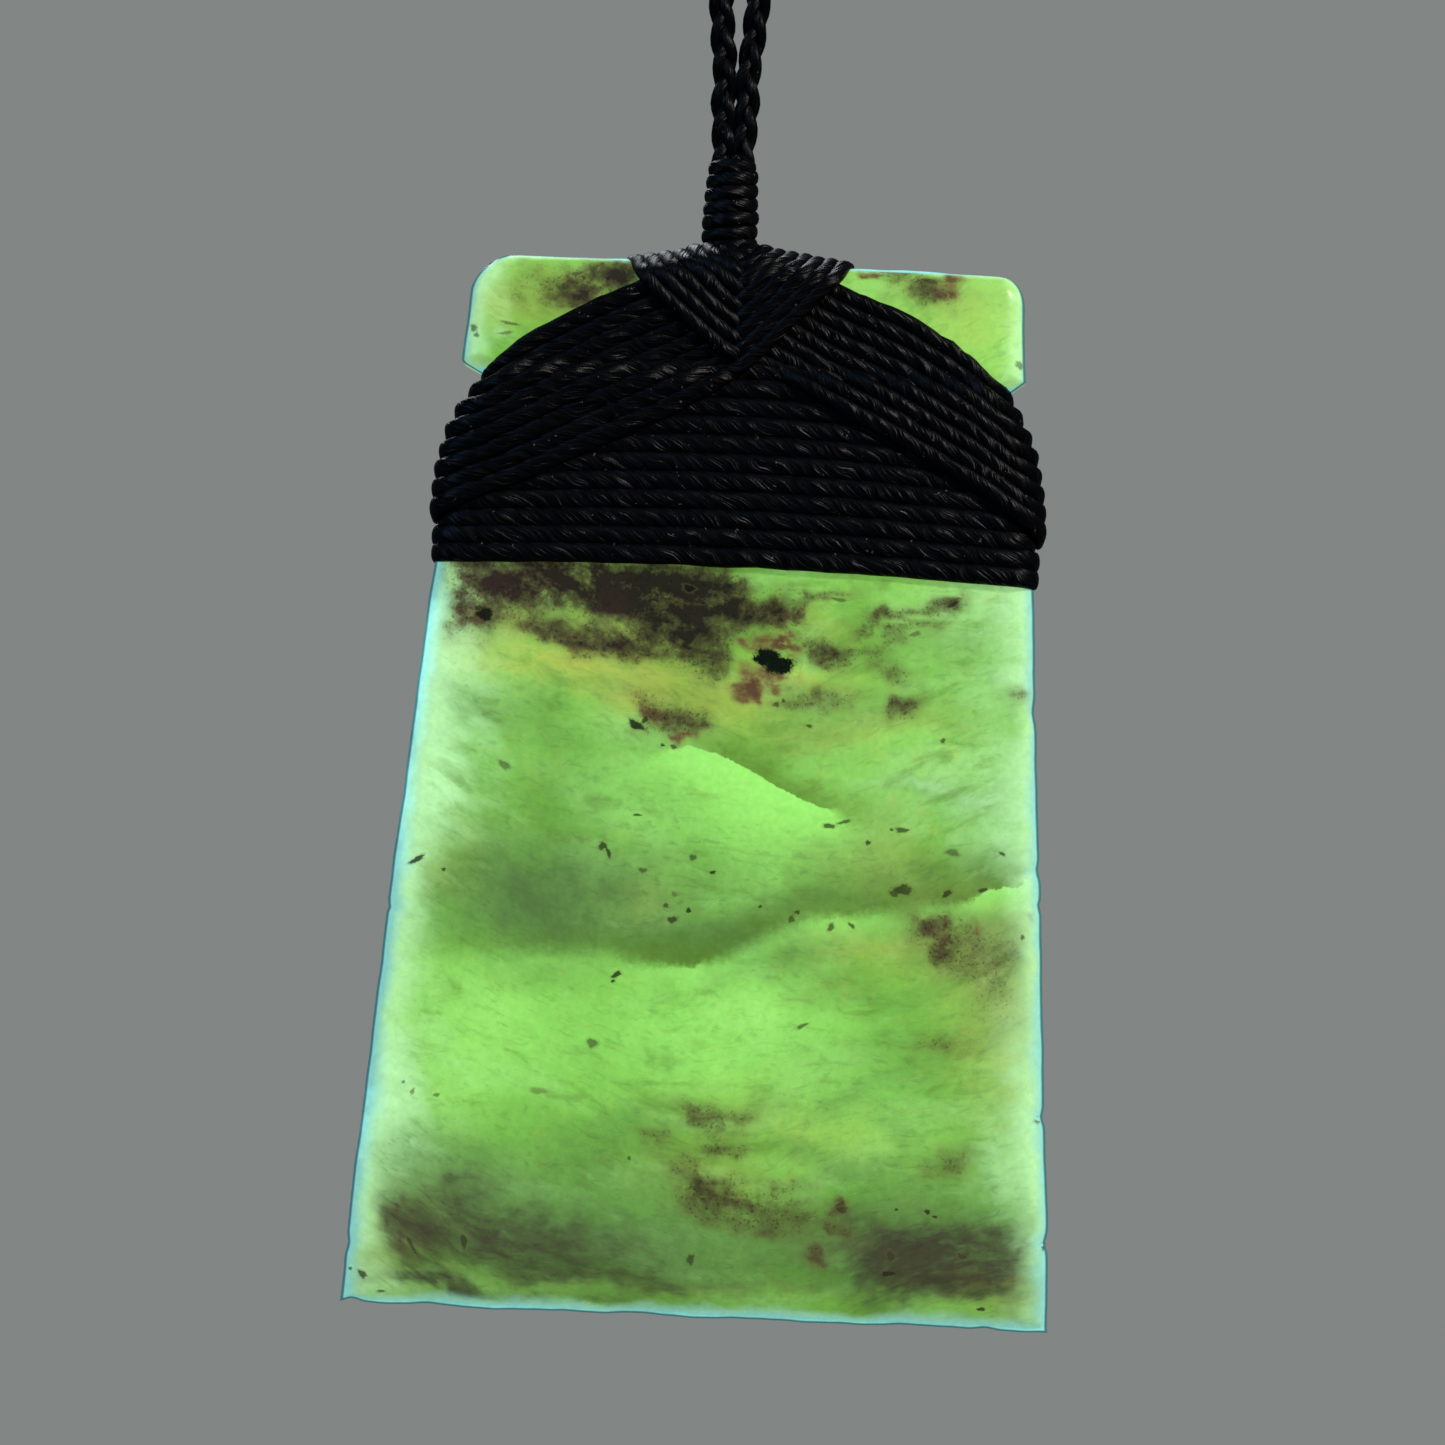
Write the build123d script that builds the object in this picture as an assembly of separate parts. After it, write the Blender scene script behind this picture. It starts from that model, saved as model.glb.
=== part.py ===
from build123d import *
import math
import os

# A greenstone adze blade worn as a pendant. Black waxed cord lashes the head of the blade and goes up,
# through a short whipped neck, into a necklace of two plaits. Millimetres, +Z up, +X to the right as seen
# from the front, and the front looks towards -Y. The origin is the inside of the necklace's top, where it
# hangs.

# Blade, whose head is level and whose sides are straight lines from head to foot
blade_length = 60.1
head_left = 15.25
head_right = 16.15
foot_left = 20.5
foot_right = 20.0
blade_thickness = 6.0
head_thickness = 5.3
foot_thickness = 0.9
thickest_depth = 30.0
front_bevel = 3.4
back_bevel = 13.0
edge_round = 1.2
edge_flat = 0.09
left_corner = 2.2
right_corner = 1.7
# Shares of a corner's height at which a section follows its round
corner_shares = (0.0, 0.1, 0.3, 0.6, 1.0)

# Notch at each side of the blade, under its head
notch_top = 6.2
notch_height = 3.4
notch_depth = 1.6
notch_flare = 0.5

# Waxed cord as it lies flattened on the blade, and the clearance between pieces
cord_width = 1.08
cord_height = 0.52
fit = 0.06

# Level turns of the band
band_turns = 10
band_top = 6.45
turn_round = 0.24
band_corner = 1.6

# Cross turns: how many each way, and the herringbone crown that they make over the head
cross_turns = 8
cross_corner = 2.2
corner_steps = 3
groove_width = 0.16
groove_depth = 0.3
# How far the fans have spread from the notch out to the blade's side, from the head down
spread_shares = (0.0, 0.0, 0.75, 1.0, 1.0)
crown_left = 6.9
crown_right = 6.3
crown_drop = 6.8
crown_height = 1.4
crown_peak = 1.4
crown_tip = 0.5
crown_over = 2.3

# Whipped neck, which stands a little to the left of the middle of the head
neck_offset = 0.95
neck_turns = 5
neck_turn_height = 0.92
neck_radius = 1.52
neck_flare = 0.24
neck_round = 0.3

# Necklace of two plaits, from the neck round the peg and back
loop_length = 500.0
peg_radius = 12.3
plait_diameter = 1.45
plait_gap = 0.12
parallel_rise = 4.7
bend_radius = 24.0

# Whipping that joins the plaits, hidden at the back of the wearer's neck
closure_length = 8.0
closure_diameter = 3.2
closure_round = 0.5
closure_drop = 32.0

layer = fit + cord_height
lashing_depth = band_top + band_turns * cord_width
notch_tip = notch_top + notch_height / 3
plait_radius = plait_diameter / 2
hang_radius = peg_radius + plait_radius
neck_spacing = plait_diameter / 2 + plait_gap / 2
neck_height = neck_turns * neck_turn_height


def lean_angle():
    """The lean of each plait, for which both plaits and the stretch on the peg add up to the loop."""
    angle = 0.0
    for _ in range(20):
        on_peg = (math.pi + 2 * angle) * hang_radius
        run = (loop_length - on_peg) / 2 - parallel_rise
        angle = math.asin((hang_radius * math.cos(angle) - neck_spacing) / run)
    return angle


lean = lean_angle()
leave_x = hang_radius * math.cos(lean)
leave_z = -peg_radius - hang_radius * math.sin(lean)
leg_run = (leave_x - neck_spacing) / math.sin(lean)
bend_z = leave_z - leg_run * math.cos(lean)
neck_top = bend_z - parallel_rise
blade_top = neck_top - neck_height - fit - crown_peak

# Outline of each fan of cross turns: its share of the way out to the blade's side, and its upper and
# lower edges as shares of the depth of the lashing below the blade's head
fan_columns = ("out", "upper", "lower")
left_fan = [
    (0.0, 0.02, 0.36),
    (0.5, 0.12, 0.62),
    (1.25, 0.56, 0.94),
]
right_fan = [
    (0.0, 0.02, 0.32),
    (0.5, 0.10, 0.55),
    (1.25, 0.56, 0.97),
]


def side_at(top_reach, foot_reach, depth):
    """How far one straight side of the blade lies from the middle, at a depth below the head."""
    return top_reach + (foot_reach - top_reach) * depth / blade_length


def bow_at(depth):
    """Half the blade's thickness at a depth below the head, away from its bevels."""
    bow = (blade_thickness - head_thickness) / 2
    return blade_thickness / 2 - bow * ((depth - thickest_depth) / thickest_depth) ** 2


def face_at(bevel, depth):
    """How far the front or the back face lies from the middle, with its bevel down to the cutting edge."""
    start = blade_length - bevel
    if depth <= start:
        return bow_at(depth)
    share = (depth - start) / bevel
    return bow_at(start) + (foot_thickness / 2 - bow_at(start)) * share


def inset_at(radius, depth):
    """How far a corner of this radius draws a side in, at a depth below the head."""
    if depth >= radius:
        return 0.0
    return radius - math.sqrt(radius ** 2 - (radius - depth) ** 2)


def corner_depths():
    """The depths below the head at which sections follow its rounded corners."""
    corner = max(left_corner, right_corner)
    return [share * corner for share in corner_shares]


def skin(rows):
    """A solid through level sections: height, reach left, right, front and back, and corner of each."""
    sections = []
    for height, left, right, front, back, corner in rows:
        place = Pos((right - left) / 2, (back - front) / 2, height)
        sections.append(place * RectangleRounded(left + right, front + back, corner))
    return loft(sections, ruled=True)


def flat_faced(rings):
    """A solid with flat faces through rings of points, whose edges are parallel from ring to ring."""
    faces = [Face(Wire.make_polygon(rings[0])), Face(Wire.make_polygon(rings[-1]))]
    for upper, lower in zip(rings, rings[1:]):
        for a, b, c, d in zip(upper, upper[1:] + upper[:1], lower[1:] + lower[:1], lower):
            faces.append(Face(Wire.make_polygon([a, b, c, d])))
    return Part() + Solid(Shell(faces))


def faceted_skin(rows):
    """The same as skin, all of flat faces, for pieces of wound cord and the room that they leave."""
    rings = []
    for height, left, right, front, back, corner in rows:
        ring = []
        for quarter in range(4):
            centre_x = right - corner if quarter in (0, 3) else corner - left
            centre_y = back - corner if quarter < 2 else corner - front
            for step in range(corner_steps + 1):
                angle = math.radians(90 * (quarter + step / corner_steps))
                x = centre_x + corner * math.cos(angle)
                y = centre_y + corner * math.sin(angle)
                ring.append(Vector(x, y, height))
        rings.append(ring)
    return flat_faced(rings)


def notch_cutter(side, grow):
    """The wedge that opens a notch from one side, wider at the blade's faces and smaller by grow."""
    reach = side_at(head_left, foot_left, notch_top)
    if side > 0:
        reach = side_at(head_right, foot_right, notch_top)
    outer = reach + blade_thickness
    slope = (notch_height / 2) / notch_depth
    halves = []
    for face in (-1, 1):
        sections = []
        for flare, y in ((0.0, 0.0), (notch_flare, face * blade_thickness)):
            tip = reach - notch_depth - flare + grow
            top = -notch_top + flare - grow
            low = -notch_top - notch_height - flare + grow
            spread = (outer - reach) * slope
            wedge = Polygon(
                (side * tip, -notch_tip),
                (side * reach, top),
                (side * outer, top + spread),
                (side * outer, low - spread),
                (side * reach, low),
                align=None,
            )
            sections.append(Plane((0, y, 0), x_dir=(1, 0, 0), z_dir=(0, -1, 0)) * wedge)
        halves.append(loft(sections, ruled=True))
    return halves[0] + halves[1]


def make_blade():
    """The blade, with a notch at each side and a bevel on each face of its foot."""
    depths = corner_depths() + [thickest_depth / 2, thickest_depth]
    depths += [blade_length - back_bevel, blade_length - front_bevel, blade_length]
    rows = []
    for depth in depths:
        front = face_at(front_bevel, depth) - inset_at(edge_round, depth)
        back = face_at(back_bevel, depth) - inset_at(edge_round, depth)
        left = side_at(head_left, foot_left, depth) - inset_at(left_corner, depth)
        right = side_at(head_right, foot_right, depth) - inset_at(right_corner, depth)
        round_edge = min(edge_round, (front + back - edge_flat) / 2)
        rows.append((-depth, left, right, front, back, round_edge))
    return skin(rows) - notch_cutter(-1, 0.0) - notch_cutter(1, 0.0)


def head_room():
    """The room that the head of the blade takes in its lashing, with the clearance round it."""
    beyond_lashing = lashing_depth + lashing_depth / 2
    rows = []
    for depth in corner_depths() + [lashing_depth / 2, beyond_lashing]:
        face = bow_at(depth) - inset_at(edge_round, depth) + fit
        left = side_at(head_left, foot_left, depth) - inset_at(left_corner, depth) + fit
        right = side_at(head_right, foot_right, depth) - inset_at(right_corner, depth) + fit
        rows.append((fit - depth, left, right, face, face, edge_round))
    return faceted_skin(rows) - notch_cutter(-1, fit) - notch_cutter(1, fit)


def notch_bite(depth):
    """How far the notches draw a cord in, at a depth below the head."""
    half = notch_height / 2
    return notch_depth * max(0.0, 1 - abs(depth - notch_tip) / half)


def band_stack(grow, round_turns):
    """The level turns as a stack without its hollow."""
    stack = None
    for turn in range(band_turns):
        upper = band_top + turn * cord_width
        middle = upper + cord_width / 2
        left = side_at(head_left, foot_left, middle) - notch_bite(middle) + layer + grow
        right = side_at(head_right, foot_right, middle) - notch_bite(middle) + layer + grow
        face = bow_at(middle) + layer + grow
        place = Pos((right - left) / 2, 0, -upper - cord_width - grow)
        outline = place * RectangleRounded(left + right, 2 * face, band_corner + grow)
        ring = extrude(outline, cord_width + 2 * grow)
        if round_turns:
            rims = ring.edges().filter_by(lambda edge: abs(edge.tangent_at(0.5).Z) < 0.5)
            ring = fillet(rims, turn_round)
        stack = ring if stack is None else stack + ring
    return stack


def cross_skin(lift):
    """The outer skin of the cross turns over the band, lifted this far off the blade."""
    depths = [0.0, notch_tip, notch_top + notch_height, notch_top + 2 * notch_height, lashing_depth]
    rows = []
    for depth, spread in zip(depths, spread_shares):
        draw = (1 - spread) * (notch_depth + layer)
        left = side_at(head_left, foot_left, depth) + lift - draw
        right = side_at(head_right, foot_right, depth) + lift - draw
        face = bow_at(depth) + lift
        rows.append((-depth, left, right, face, face, cross_corner))
    return faceted_skin(rows)


def fan_line(fan, side, share):
    """A line from the middle to beyond the side, this share of the way down the fan."""
    half_width = head_left if side < 0 else head_right
    points = []
    for row in fan:
        column = dict(zip(fan_columns, row))
        depth = column["upper"] + (column["lower"] - column["upper"]) * share
        points.append((side * column["out"] * half_width, -depth * lashing_depth))
    return points


def parted(block, outer, inner, lines):
    """A block within its outer skin, parted into cords by grooves down to its inner skin."""
    grooves = []
    for points in lines:
        for (x1, z1), (x2, z2) in zip(points, points[1:]):
            length = math.hypot(x2 - x1, z2 - z1) + groove_width
            slope = math.degrees(math.atan2(z2 - z1, x2 - x1))
            place = Pos((x1 + x2) / 2, 0, (z1 + z2) / 2) * Rot(0, -slope, 0)
            grooves.append(place * Box(length, 2 * blade_thickness, groove_width))
    return ((block & outer) - grooves) + (block & inner)


def make_fan(fan, side):
    """The cross turns on one side, parted by grooves that run round the edge of the blade."""
    outline = fan_line(fan, side, 0.0) + fan_line(fan, side, 1.0)[::-1]
    block = extrude(Plane.XZ * Polygon(*outline, align=None), blade_thickness, both=True)
    lines = [fan_line(fan, side, turn / cross_turns) for turn in range(1, cross_turns)]
    return parted(block, cross_skin(2 * layer), cross_skin(2 * layer - groove_depth), lines)


def crown_skin(sink):
    """The outer skin of the crown, rounded over the head from front to back and highest at the neck."""
    half = bow_at(crown_drop / 2) + fit + crown_height - sink
    radius = crown_over - sink
    foot = -2 * crown_drop
    rings = []
    for x, top in ((-crown_left, crown_tip), (-neck_offset, crown_peak), (crown_right, crown_tip)):
        ring = [Vector(x, -half, foot), Vector(x, half, foot)]
        for step in range(2 * corner_steps + 2):
            bend = min(step, corner_steps) + max(0, step - corner_steps - 1)
            angle = math.radians(90 * bend / corner_steps)
            side = 1 if step <= corner_steps else -1
            y = side * (half - radius) + radius * math.cos(angle)
            ring.append(Vector(x, y, top - sink - radius + radius * math.sin(angle)))
        rings.append(ring)
    return flat_faced(rings)


def make_crown():
    """The herringbone over the head, parted by grooves that rise from the middle to each side."""
    outline = Polygon(
        (0, -crown_drop),
        (crown_right, crown_tip - cord_width),
        (crown_right, crown_tip),
        (-neck_offset, crown_peak),
        (-crown_left, crown_tip),
        (-crown_left, crown_tip - cord_width),
        align=None,
    )
    block = extrude(Plane.XZ * outline, blade_thickness, both=True)
    lines = []
    for side, width in ((-1, crown_left), (1, crown_right)):
        for turn in range(1, cross_turns):
            share = turn / cross_turns
            low = crown_peak - (crown_drop + crown_peak) * share
            high = crown_peak - (crown_peak - crown_tip) * share
            lines.append([(0, low), (side * width * share, high + groove_depth)])
    return parted(block, crown_skin(0.0), crown_skin(groove_depth), lines)


def make_neck():
    """The whipped neck: turns stacked on each other, the lowest one widest."""
    neck = None
    for turn in range(neck_turns):
        radius = neck_radius + neck_flare * (1 - turn / (neck_turns - 1)) ** 2
        height = neck_top - (neck_turns - turn - 0.5) * neck_turn_height
        ring = Pos(0, 0, height) * Cylinder(radius, neck_turn_height)
        ring = fillet(ring.edges().filter_by(GeomType.CIRCLE), neck_round)
        neck = ring if neck is None else neck + ring
    return neck


def tube(path, name):
    """A round plait along a path of straight runs and tangent arcs."""
    start = Plane(path @ 0, z_dir=path % 0)
    solid = sweep(start * Circle(plait_radius), path=path)
    section = math.pi * plait_radius ** 2
    print(name, "length", round(path.length, 1), "volume by section", round(section * path.length, 1))
    print(name, "solid volume", round(solid.volume, 1))
    print(name, "bends", bend_radius, "and on the peg", round(hang_radius, 2))
    return solid


def leg_path(side, far_end):
    """The lowest part of a plait: up from the neck, a slight bend, and a straight run to its far end."""
    low = (side * neck_spacing, 0, neck_top)
    corner = (side * neck_spacing, 0, bend_z)
    return FilletPolyline(low, corner, far_end, radius=bend_radius)


def leg_point(distance):
    """A point on the right leg, this far below the place where it leaves the peg."""
    return (leave_x - distance * math.sin(lean), 0, leave_z - distance * math.cos(lean))


def make_left_plait():
    """The left plait goes up, round the peg and down to the closure."""
    leg = leg_path(-1, (-leave_x, 0, leave_z))
    on_peg = ThreePointArc((-leave_x, 0, leave_z), (0, 0, plait_radius), (leave_x, 0, leave_z))
    down = Line((leave_x, 0, leave_z), leg_point(closure_drop))
    return tube(Wire(leg.edges() + on_peg.edges() + down.edges()), "plaited_cord_left")


def make_right_plait():
    """The right plait goes up to the closure."""
    leg = leg_path(1, leg_point(closure_drop + closure_length))
    return tube(Wire(leg.edges()), "plaited_cord_right")


def make_closure():
    """The whipping where the plaits meet end to end."""
    middle = leg_point(closure_drop + closure_length / 2)
    place = Plane(middle, z_dir=(math.sin(lean), 0, math.cos(lean)))
    barrel = Cylinder(closure_diameter / 2, closure_length)
    barrel = fillet(barrel.edges().filter_by(GeomType.CIRCLE), closure_round)
    return place * barrel


blade = make_blade()
room = head_room()
band = band_stack(0.0, True) - room
cross = make_fan(left_fan, -1) + make_fan(right_fan, 1) + make_crown()
cross = cross - [room, band_stack(fit, False)]
# The cut leaves thin loose slivers beside the notches, which no cord would make
cross = cross.solids().sort_by(SortBy.VOLUME)[-1]

on_blade = Pos(neck_offset, 0, blade_top)
parts = {
    "toki_blade": on_blade * blade,
    "band_lashing": on_blade * band,
    "cross_lashing": on_blade * cross,
    "neck_whipping": make_neck(),
    "plaited_cord_left": make_left_plait(),
    "plaited_cord_right": make_right_plait(),
    "closure_whipping": make_closure(),
}

os.makedirs("parts", exist_ok=True)
for name, piece in parts.items():
    export_step(piece, f"parts/{name}.step")
    box = piece.bounding_box()
    print(name, "solids", len(piece.solids()), "volume", round(piece.volume, 1))
    print(name, "from", box.min, "to", box.max)
print("lean", round(math.degrees(lean), 3))
print("neck top", round(neck_top, 2), "blade top", round(blade_top, 2))
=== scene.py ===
import math

import bpy
import numpy as np
from mathutils import Matrix, Vector


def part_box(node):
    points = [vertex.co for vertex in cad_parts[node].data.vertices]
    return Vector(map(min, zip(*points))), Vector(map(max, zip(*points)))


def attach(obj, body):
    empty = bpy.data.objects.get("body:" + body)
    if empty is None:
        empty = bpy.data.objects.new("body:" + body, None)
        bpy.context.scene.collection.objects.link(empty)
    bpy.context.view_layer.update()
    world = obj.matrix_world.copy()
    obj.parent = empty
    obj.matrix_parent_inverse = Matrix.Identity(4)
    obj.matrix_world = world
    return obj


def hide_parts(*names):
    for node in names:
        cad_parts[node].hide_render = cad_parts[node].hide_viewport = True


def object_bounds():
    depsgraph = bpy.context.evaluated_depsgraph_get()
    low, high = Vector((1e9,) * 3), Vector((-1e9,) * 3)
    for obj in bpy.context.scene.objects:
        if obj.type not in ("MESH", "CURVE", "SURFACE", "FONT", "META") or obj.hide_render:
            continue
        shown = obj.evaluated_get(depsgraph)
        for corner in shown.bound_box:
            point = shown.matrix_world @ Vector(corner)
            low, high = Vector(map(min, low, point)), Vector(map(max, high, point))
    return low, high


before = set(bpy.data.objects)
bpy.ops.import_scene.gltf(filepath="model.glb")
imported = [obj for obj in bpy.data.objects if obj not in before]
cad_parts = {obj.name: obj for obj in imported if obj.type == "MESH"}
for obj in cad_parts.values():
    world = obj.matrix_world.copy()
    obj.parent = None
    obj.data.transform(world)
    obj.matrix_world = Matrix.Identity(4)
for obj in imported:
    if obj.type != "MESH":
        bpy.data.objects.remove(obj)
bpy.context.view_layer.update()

MM = 0.001

# The blade's own frame, in millimetres: x to the right from the middle of the head, z up from its top edge.
# The neck of the lashing stands a little to the left of that middle, over the row's own z axis. A size that
# differs has a value for the left (-1) and the right (1), and a bevel has one for the front and the back.
SIDES = {-1: "left", 1: "right"}
HEAD_REACH = {-1: 15.25, 1: 16.15}
FOOT_REACH = {-1: 20.5, 1: 20.0}
CORNER_ROUND = {-1: 2.2, 1: 1.7}
BEVEL = {-1: 3.4, 1: 13.0}
BLADE_LENGTH = 60.45
HALF_THICK = 3.0
HALF_HEAD = 2.65
FOOT_HALF = 0.4
THICKEST = 30.0
EDGE_ROUND = 1.2
# A dip where the bevels start, a crown across the faces, and how thin the half blade gets at its edges
BEVEL_DIP = 0.05
FACE_CROWN = 0.035
ROUND_LEAST = 0.14
NOTCH_LEAST = 0.12

blade_low, blade_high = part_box("toki_blade")
MIDDLE_X = blade_low.x / MM + FOOT_REACH[-1]
HEAD_Z = blade_high.z / MM

# The photograph: where its pixels fall on the blade, and how far its camera is turned
PHOTO_SIZE = 1445
PHOTO_HEAD = (745.0, 267.0)
PHOTO_MM = 0.0575
PHOTO_ROLL = math.radians(2.5)


def from_photo(u, v):
    """The place on the blade, in its own frame, of a pixel of the photograph."""
    du = u - PHOTO_HEAD[0]
    dv = v - PHOTO_HEAD[1]
    x = (du * math.cos(PHOTO_ROLL) + dv * math.sin(PHOTO_ROLL)) * PHOTO_MM
    z = (du * math.sin(PHOTO_ROLL) - dv * math.cos(PHOTO_ROLL)) * PHOTO_MM
    return x, z


def to_row(points):
    """Points of the blade's frame in millimetres, in the row frame in metres."""
    return (np.asarray(points, float) + np.array([MIDDLE_X, 0.0, HEAD_Z])) * MM


def smooth(low, high, value):
    """A soft step from 0 at low to 1 at high."""
    t = np.clip((value - low) / (high - low), 0.0, 1.0)
    return t * t * (3 - 2 * t)


def blend(first, last, share):
    """What lies between two values, at a share of the way."""
    return first + (last - first) * share


def table(columns, rows):
    """A table whose columns, and whose rows' values, go by names."""
    return np.rec.array(rows, names=columns)


def unit(vectors):
    """The directions of vectors, each of length 1."""
    return vectors / np.linalg.norm(vectors, axis=1)[:, None]


def way_along(line):
    """How far along a line each of its points lies."""
    return np.concatenate([[0.0], np.cumsum(np.linalg.norm(np.diff(line, axis=0), axis=1))])


def wrapped(rings):
    """Rings of vertex numbers, one to a row, each closed by its first number."""
    return np.hstack([rings, rings[:, :1]])


def cells(grid, flip=False):
    """The four corners of each cell of a grid, one way round or the other."""
    corners = [grid[:-1, :-1], grid[:-1, 1:], grid[1:, 1:], grid[1:, :-1]]
    if flip:
        corners[1], corners[3] = corners[3], corners[1]
    return np.stack(corners, 2).reshape(-1, 4, *grid.shape[2:])


def new_mesh(name, verts, faces, marks=None):
    """An object from vertices in metres and faces, with the place of each face corner on its cord."""
    mesh = bpy.data.meshes.new(name)
    mesh.from_pydata([tuple(v) for v in verts], [], faces)
    if marks is not None:
        layer = mesh.uv_layers.new(name="cord")
        layer.data.foreach_set("uv", np.asarray(marks, np.float32).ravel())
    mesh.polygons.foreach_set("use_smooth", np.ones(len(mesh.polygons), bool))
    mesh.update()
    return in_scene(bpy.data.objects.new(name, mesh))


def in_scene(obj):
    """The object itself, once it is in the scene."""
    bpy.context.scene.collection.objects.link(obj)
    return obj


# Cords

def rounded_path(points, step, reach):
    """An evenly stepped line along the points, with its corners rounded off over the given reach."""
    points = np.asarray(points, float)
    far = way_along(points)
    fine = np.linspace(0.0, far[-1], int(far[-1] / step) + 2)
    line = np.stack([np.interp(fine, far, axis) for axis in points.T], 1)
    count = int(reach / step)
    before = 2 * line[0] - line[count:0:-1]
    after = 2 * line[-1] - line[-2:-count - 2:-1]
    padded = np.concatenate([before, line, after])
    kernel = np.hanning(2 * count + 3)[1:-1]
    kernel /= kernel.sum()
    return np.stack([np.convolve(axis, kernel, "valid") for axis in padded.T], 1)


CORD_WAVES = range(5, 34, 2)


def loop_wave(rng, count, size):
    """A soft irregular wave that closes on itself, of about the given size."""
    turn = np.linspace(0, 2 * math.pi, count, endpoint=False)
    total = np.zeros(count)
    for number in CORD_WAVES:
        total += rng.normal() * np.sin(number * turn + rng.uniform(0, 2 * math.pi))
    return size * total / math.sqrt(len(CORD_WAVES))


class CordMesh:
    """Gathers cords as flattened tubes, each point with its outward direction, width and height."""

    def __init__(self, sides):
        self.sides = sides
        self.verts = []
        self.faces = []
        self.marks = []

    def add(self, line, outward, width, height, closed=False, start=0.0, square=2.1, tilt=0.0):
        """One cord along a line in millimetres: a squarish oval in section, turned by tilt about the line."""
        line = np.asarray(line, float)
        if closed:
            along = unit(np.roll(line, -1, 0) - np.roll(line, 1, 0))
        else:
            along = unit(np.gradient(line, axis=0))
        outward = np.asarray(outward, float)
        outward = unit(outward - along * (outward * along).sum(1)[:, None])
        across = np.cross(along, outward)
        turn = np.linspace(0, 2 * math.pi, self.sides, endpoint=False)
        ring = line[:, None]
        for size, wave, own, other in (
            (width, np.cos(turn), across, outward),
            (height, np.sin(turn), outward, -across),
        ):
            direction = own * math.cos(tilt) + other * math.sin(tilt)
            reach = np.sign(wave) * np.abs(wave) ** (2 / square) / 2
            ring = ring + direction[:, None] * np.outer(np.broadcast_to(size, len(line)), reach)[:, :, None]
        numbers = len(self.verts) + np.arange(len(line) * self.sides).reshape(-1, self.sides)
        far = start + way_along(line)
        caps = [(numbers[0, ::-1], far[0]), (numbers[-1], far[-1])]
        if closed:
            caps = []
            numbers = np.vstack([numbers, numbers[:1]])
            far = np.append(far, far[-1] + np.linalg.norm(line[0] - line[-1]))
        around = np.arange(self.sides + 1) / self.sides
        self.verts.extend(ring.reshape(-1, 3))
        self.faces.extend(cells(wrapped(numbers)).tolist())
        self.marks.extend(cells(np.stack(np.meshgrid(far, around, indexing="ij"), 2)).reshape(-1, 2))
        for cap, end in caps:
            self.faces.append(cap.tolist())
            self.marks.extend([(end, 0.5)] * self.sides)

    def add_turn(self, rng, loop, outward, width, height, uneven, tilt=0.0):
        """One closed turn of a lashing. Uneven says how much it wavers in height, width and thickness."""
        lay, wide, thick = (loop_wave(rng, len(loop), size) for size in uneven)
        loop[:, 2] += lay
        self.add(loop, outward, width * (1 + wide), height * (1 + thick), True, rng.uniform(0, 5), tilt=tilt)

    def build(self, name, in_blade_frame=False):
        verts = np.array(self.verts)
        return new_mesh(name, to_row(verts) if in_blade_frame else verts * MM, self.faces, self.marks)


LASHING_SIDES = 14
NECK_SIDES = 12
PLAIT_SIDES = 10
CORD_STEP = 0.40
CORD_HEIGHT = 0.52
LAID_HEIGHT = CORD_HEIGHT + 0.04
HEAD_WRAP = 4.2
HEAD_LOW = -1.6
HEAD_SQUARE = 2.6
# How a cord turns round the blade's edge: where it leaves the face, at which angles it has points, and how
# much of its way up or down falls on the turn
EDGE_INSET = 1.25
EDGE_ANGLES = (15, 35, 55, 75, 90)
EDGE_SHARE = 0.62

# How far out the middle of the topmost cord lies on each side of the blade, by height
SIDE_REACH = table("z,left,right", [
    (-6.2, 14.25, 15.0),
    (-7.0, 14.55, 15.35),
    (-8.0, 15.10, 15.85),
    (-8.8, 15.78, 16.35),
    (-10.6, 16.60, 17.05),
    (-12.9, 17.05, 17.48),
    (-14.6, 17.16, 17.62),
    (-16.0, 17.16, 17.52),
])

# How high the cords stand over the head, by their place across it
CROWN_TOP = table("x,top", [
    (-8.0, 0.00),
    (-6.6, 0.08),
    (-5.5, 0.22),
    (-3.95, 0.52),
    (-2.7, 0.95),
    (-0.95, 1.10),
    (1.1, 1.00),
    (1.9, 0.76),
    (3.0, 0.60),
    (3.9, 0.50),
    (4.9, 0.36),
    (6.0, 0.20),
    (8.0, 0.10),
])


def side_of_blade(side, z):
    """The straight side of the blade at a height."""
    return HEAD_REACH[side] + (FOOT_REACH[side] - HEAD_REACH[side]) * (-z) / BLADE_LENGTH


def bow(z):
    """Half the blade's thickness at a height, away from its bevels."""
    return HALF_THICK - (HALF_THICK - HALF_HEAD) * ((-z - THICKEST) / THICKEST) ** 2


def side_reach(side, z, sink):
    """How far out a cord lies at a height, when it is sunk that deep under the topmost cords."""
    return np.interp(-z, -SIDE_REACH.z, SIDE_REACH[SIDES[side]]) - sink


def face_end(side, z, sink):
    """How far out a cord lies flat on the blade's face before it turns round the edge."""
    return min(side_of_blade(side, z) - EDGE_ROUND, side_reach(side, z, sink) - EDGE_INSET)


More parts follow.
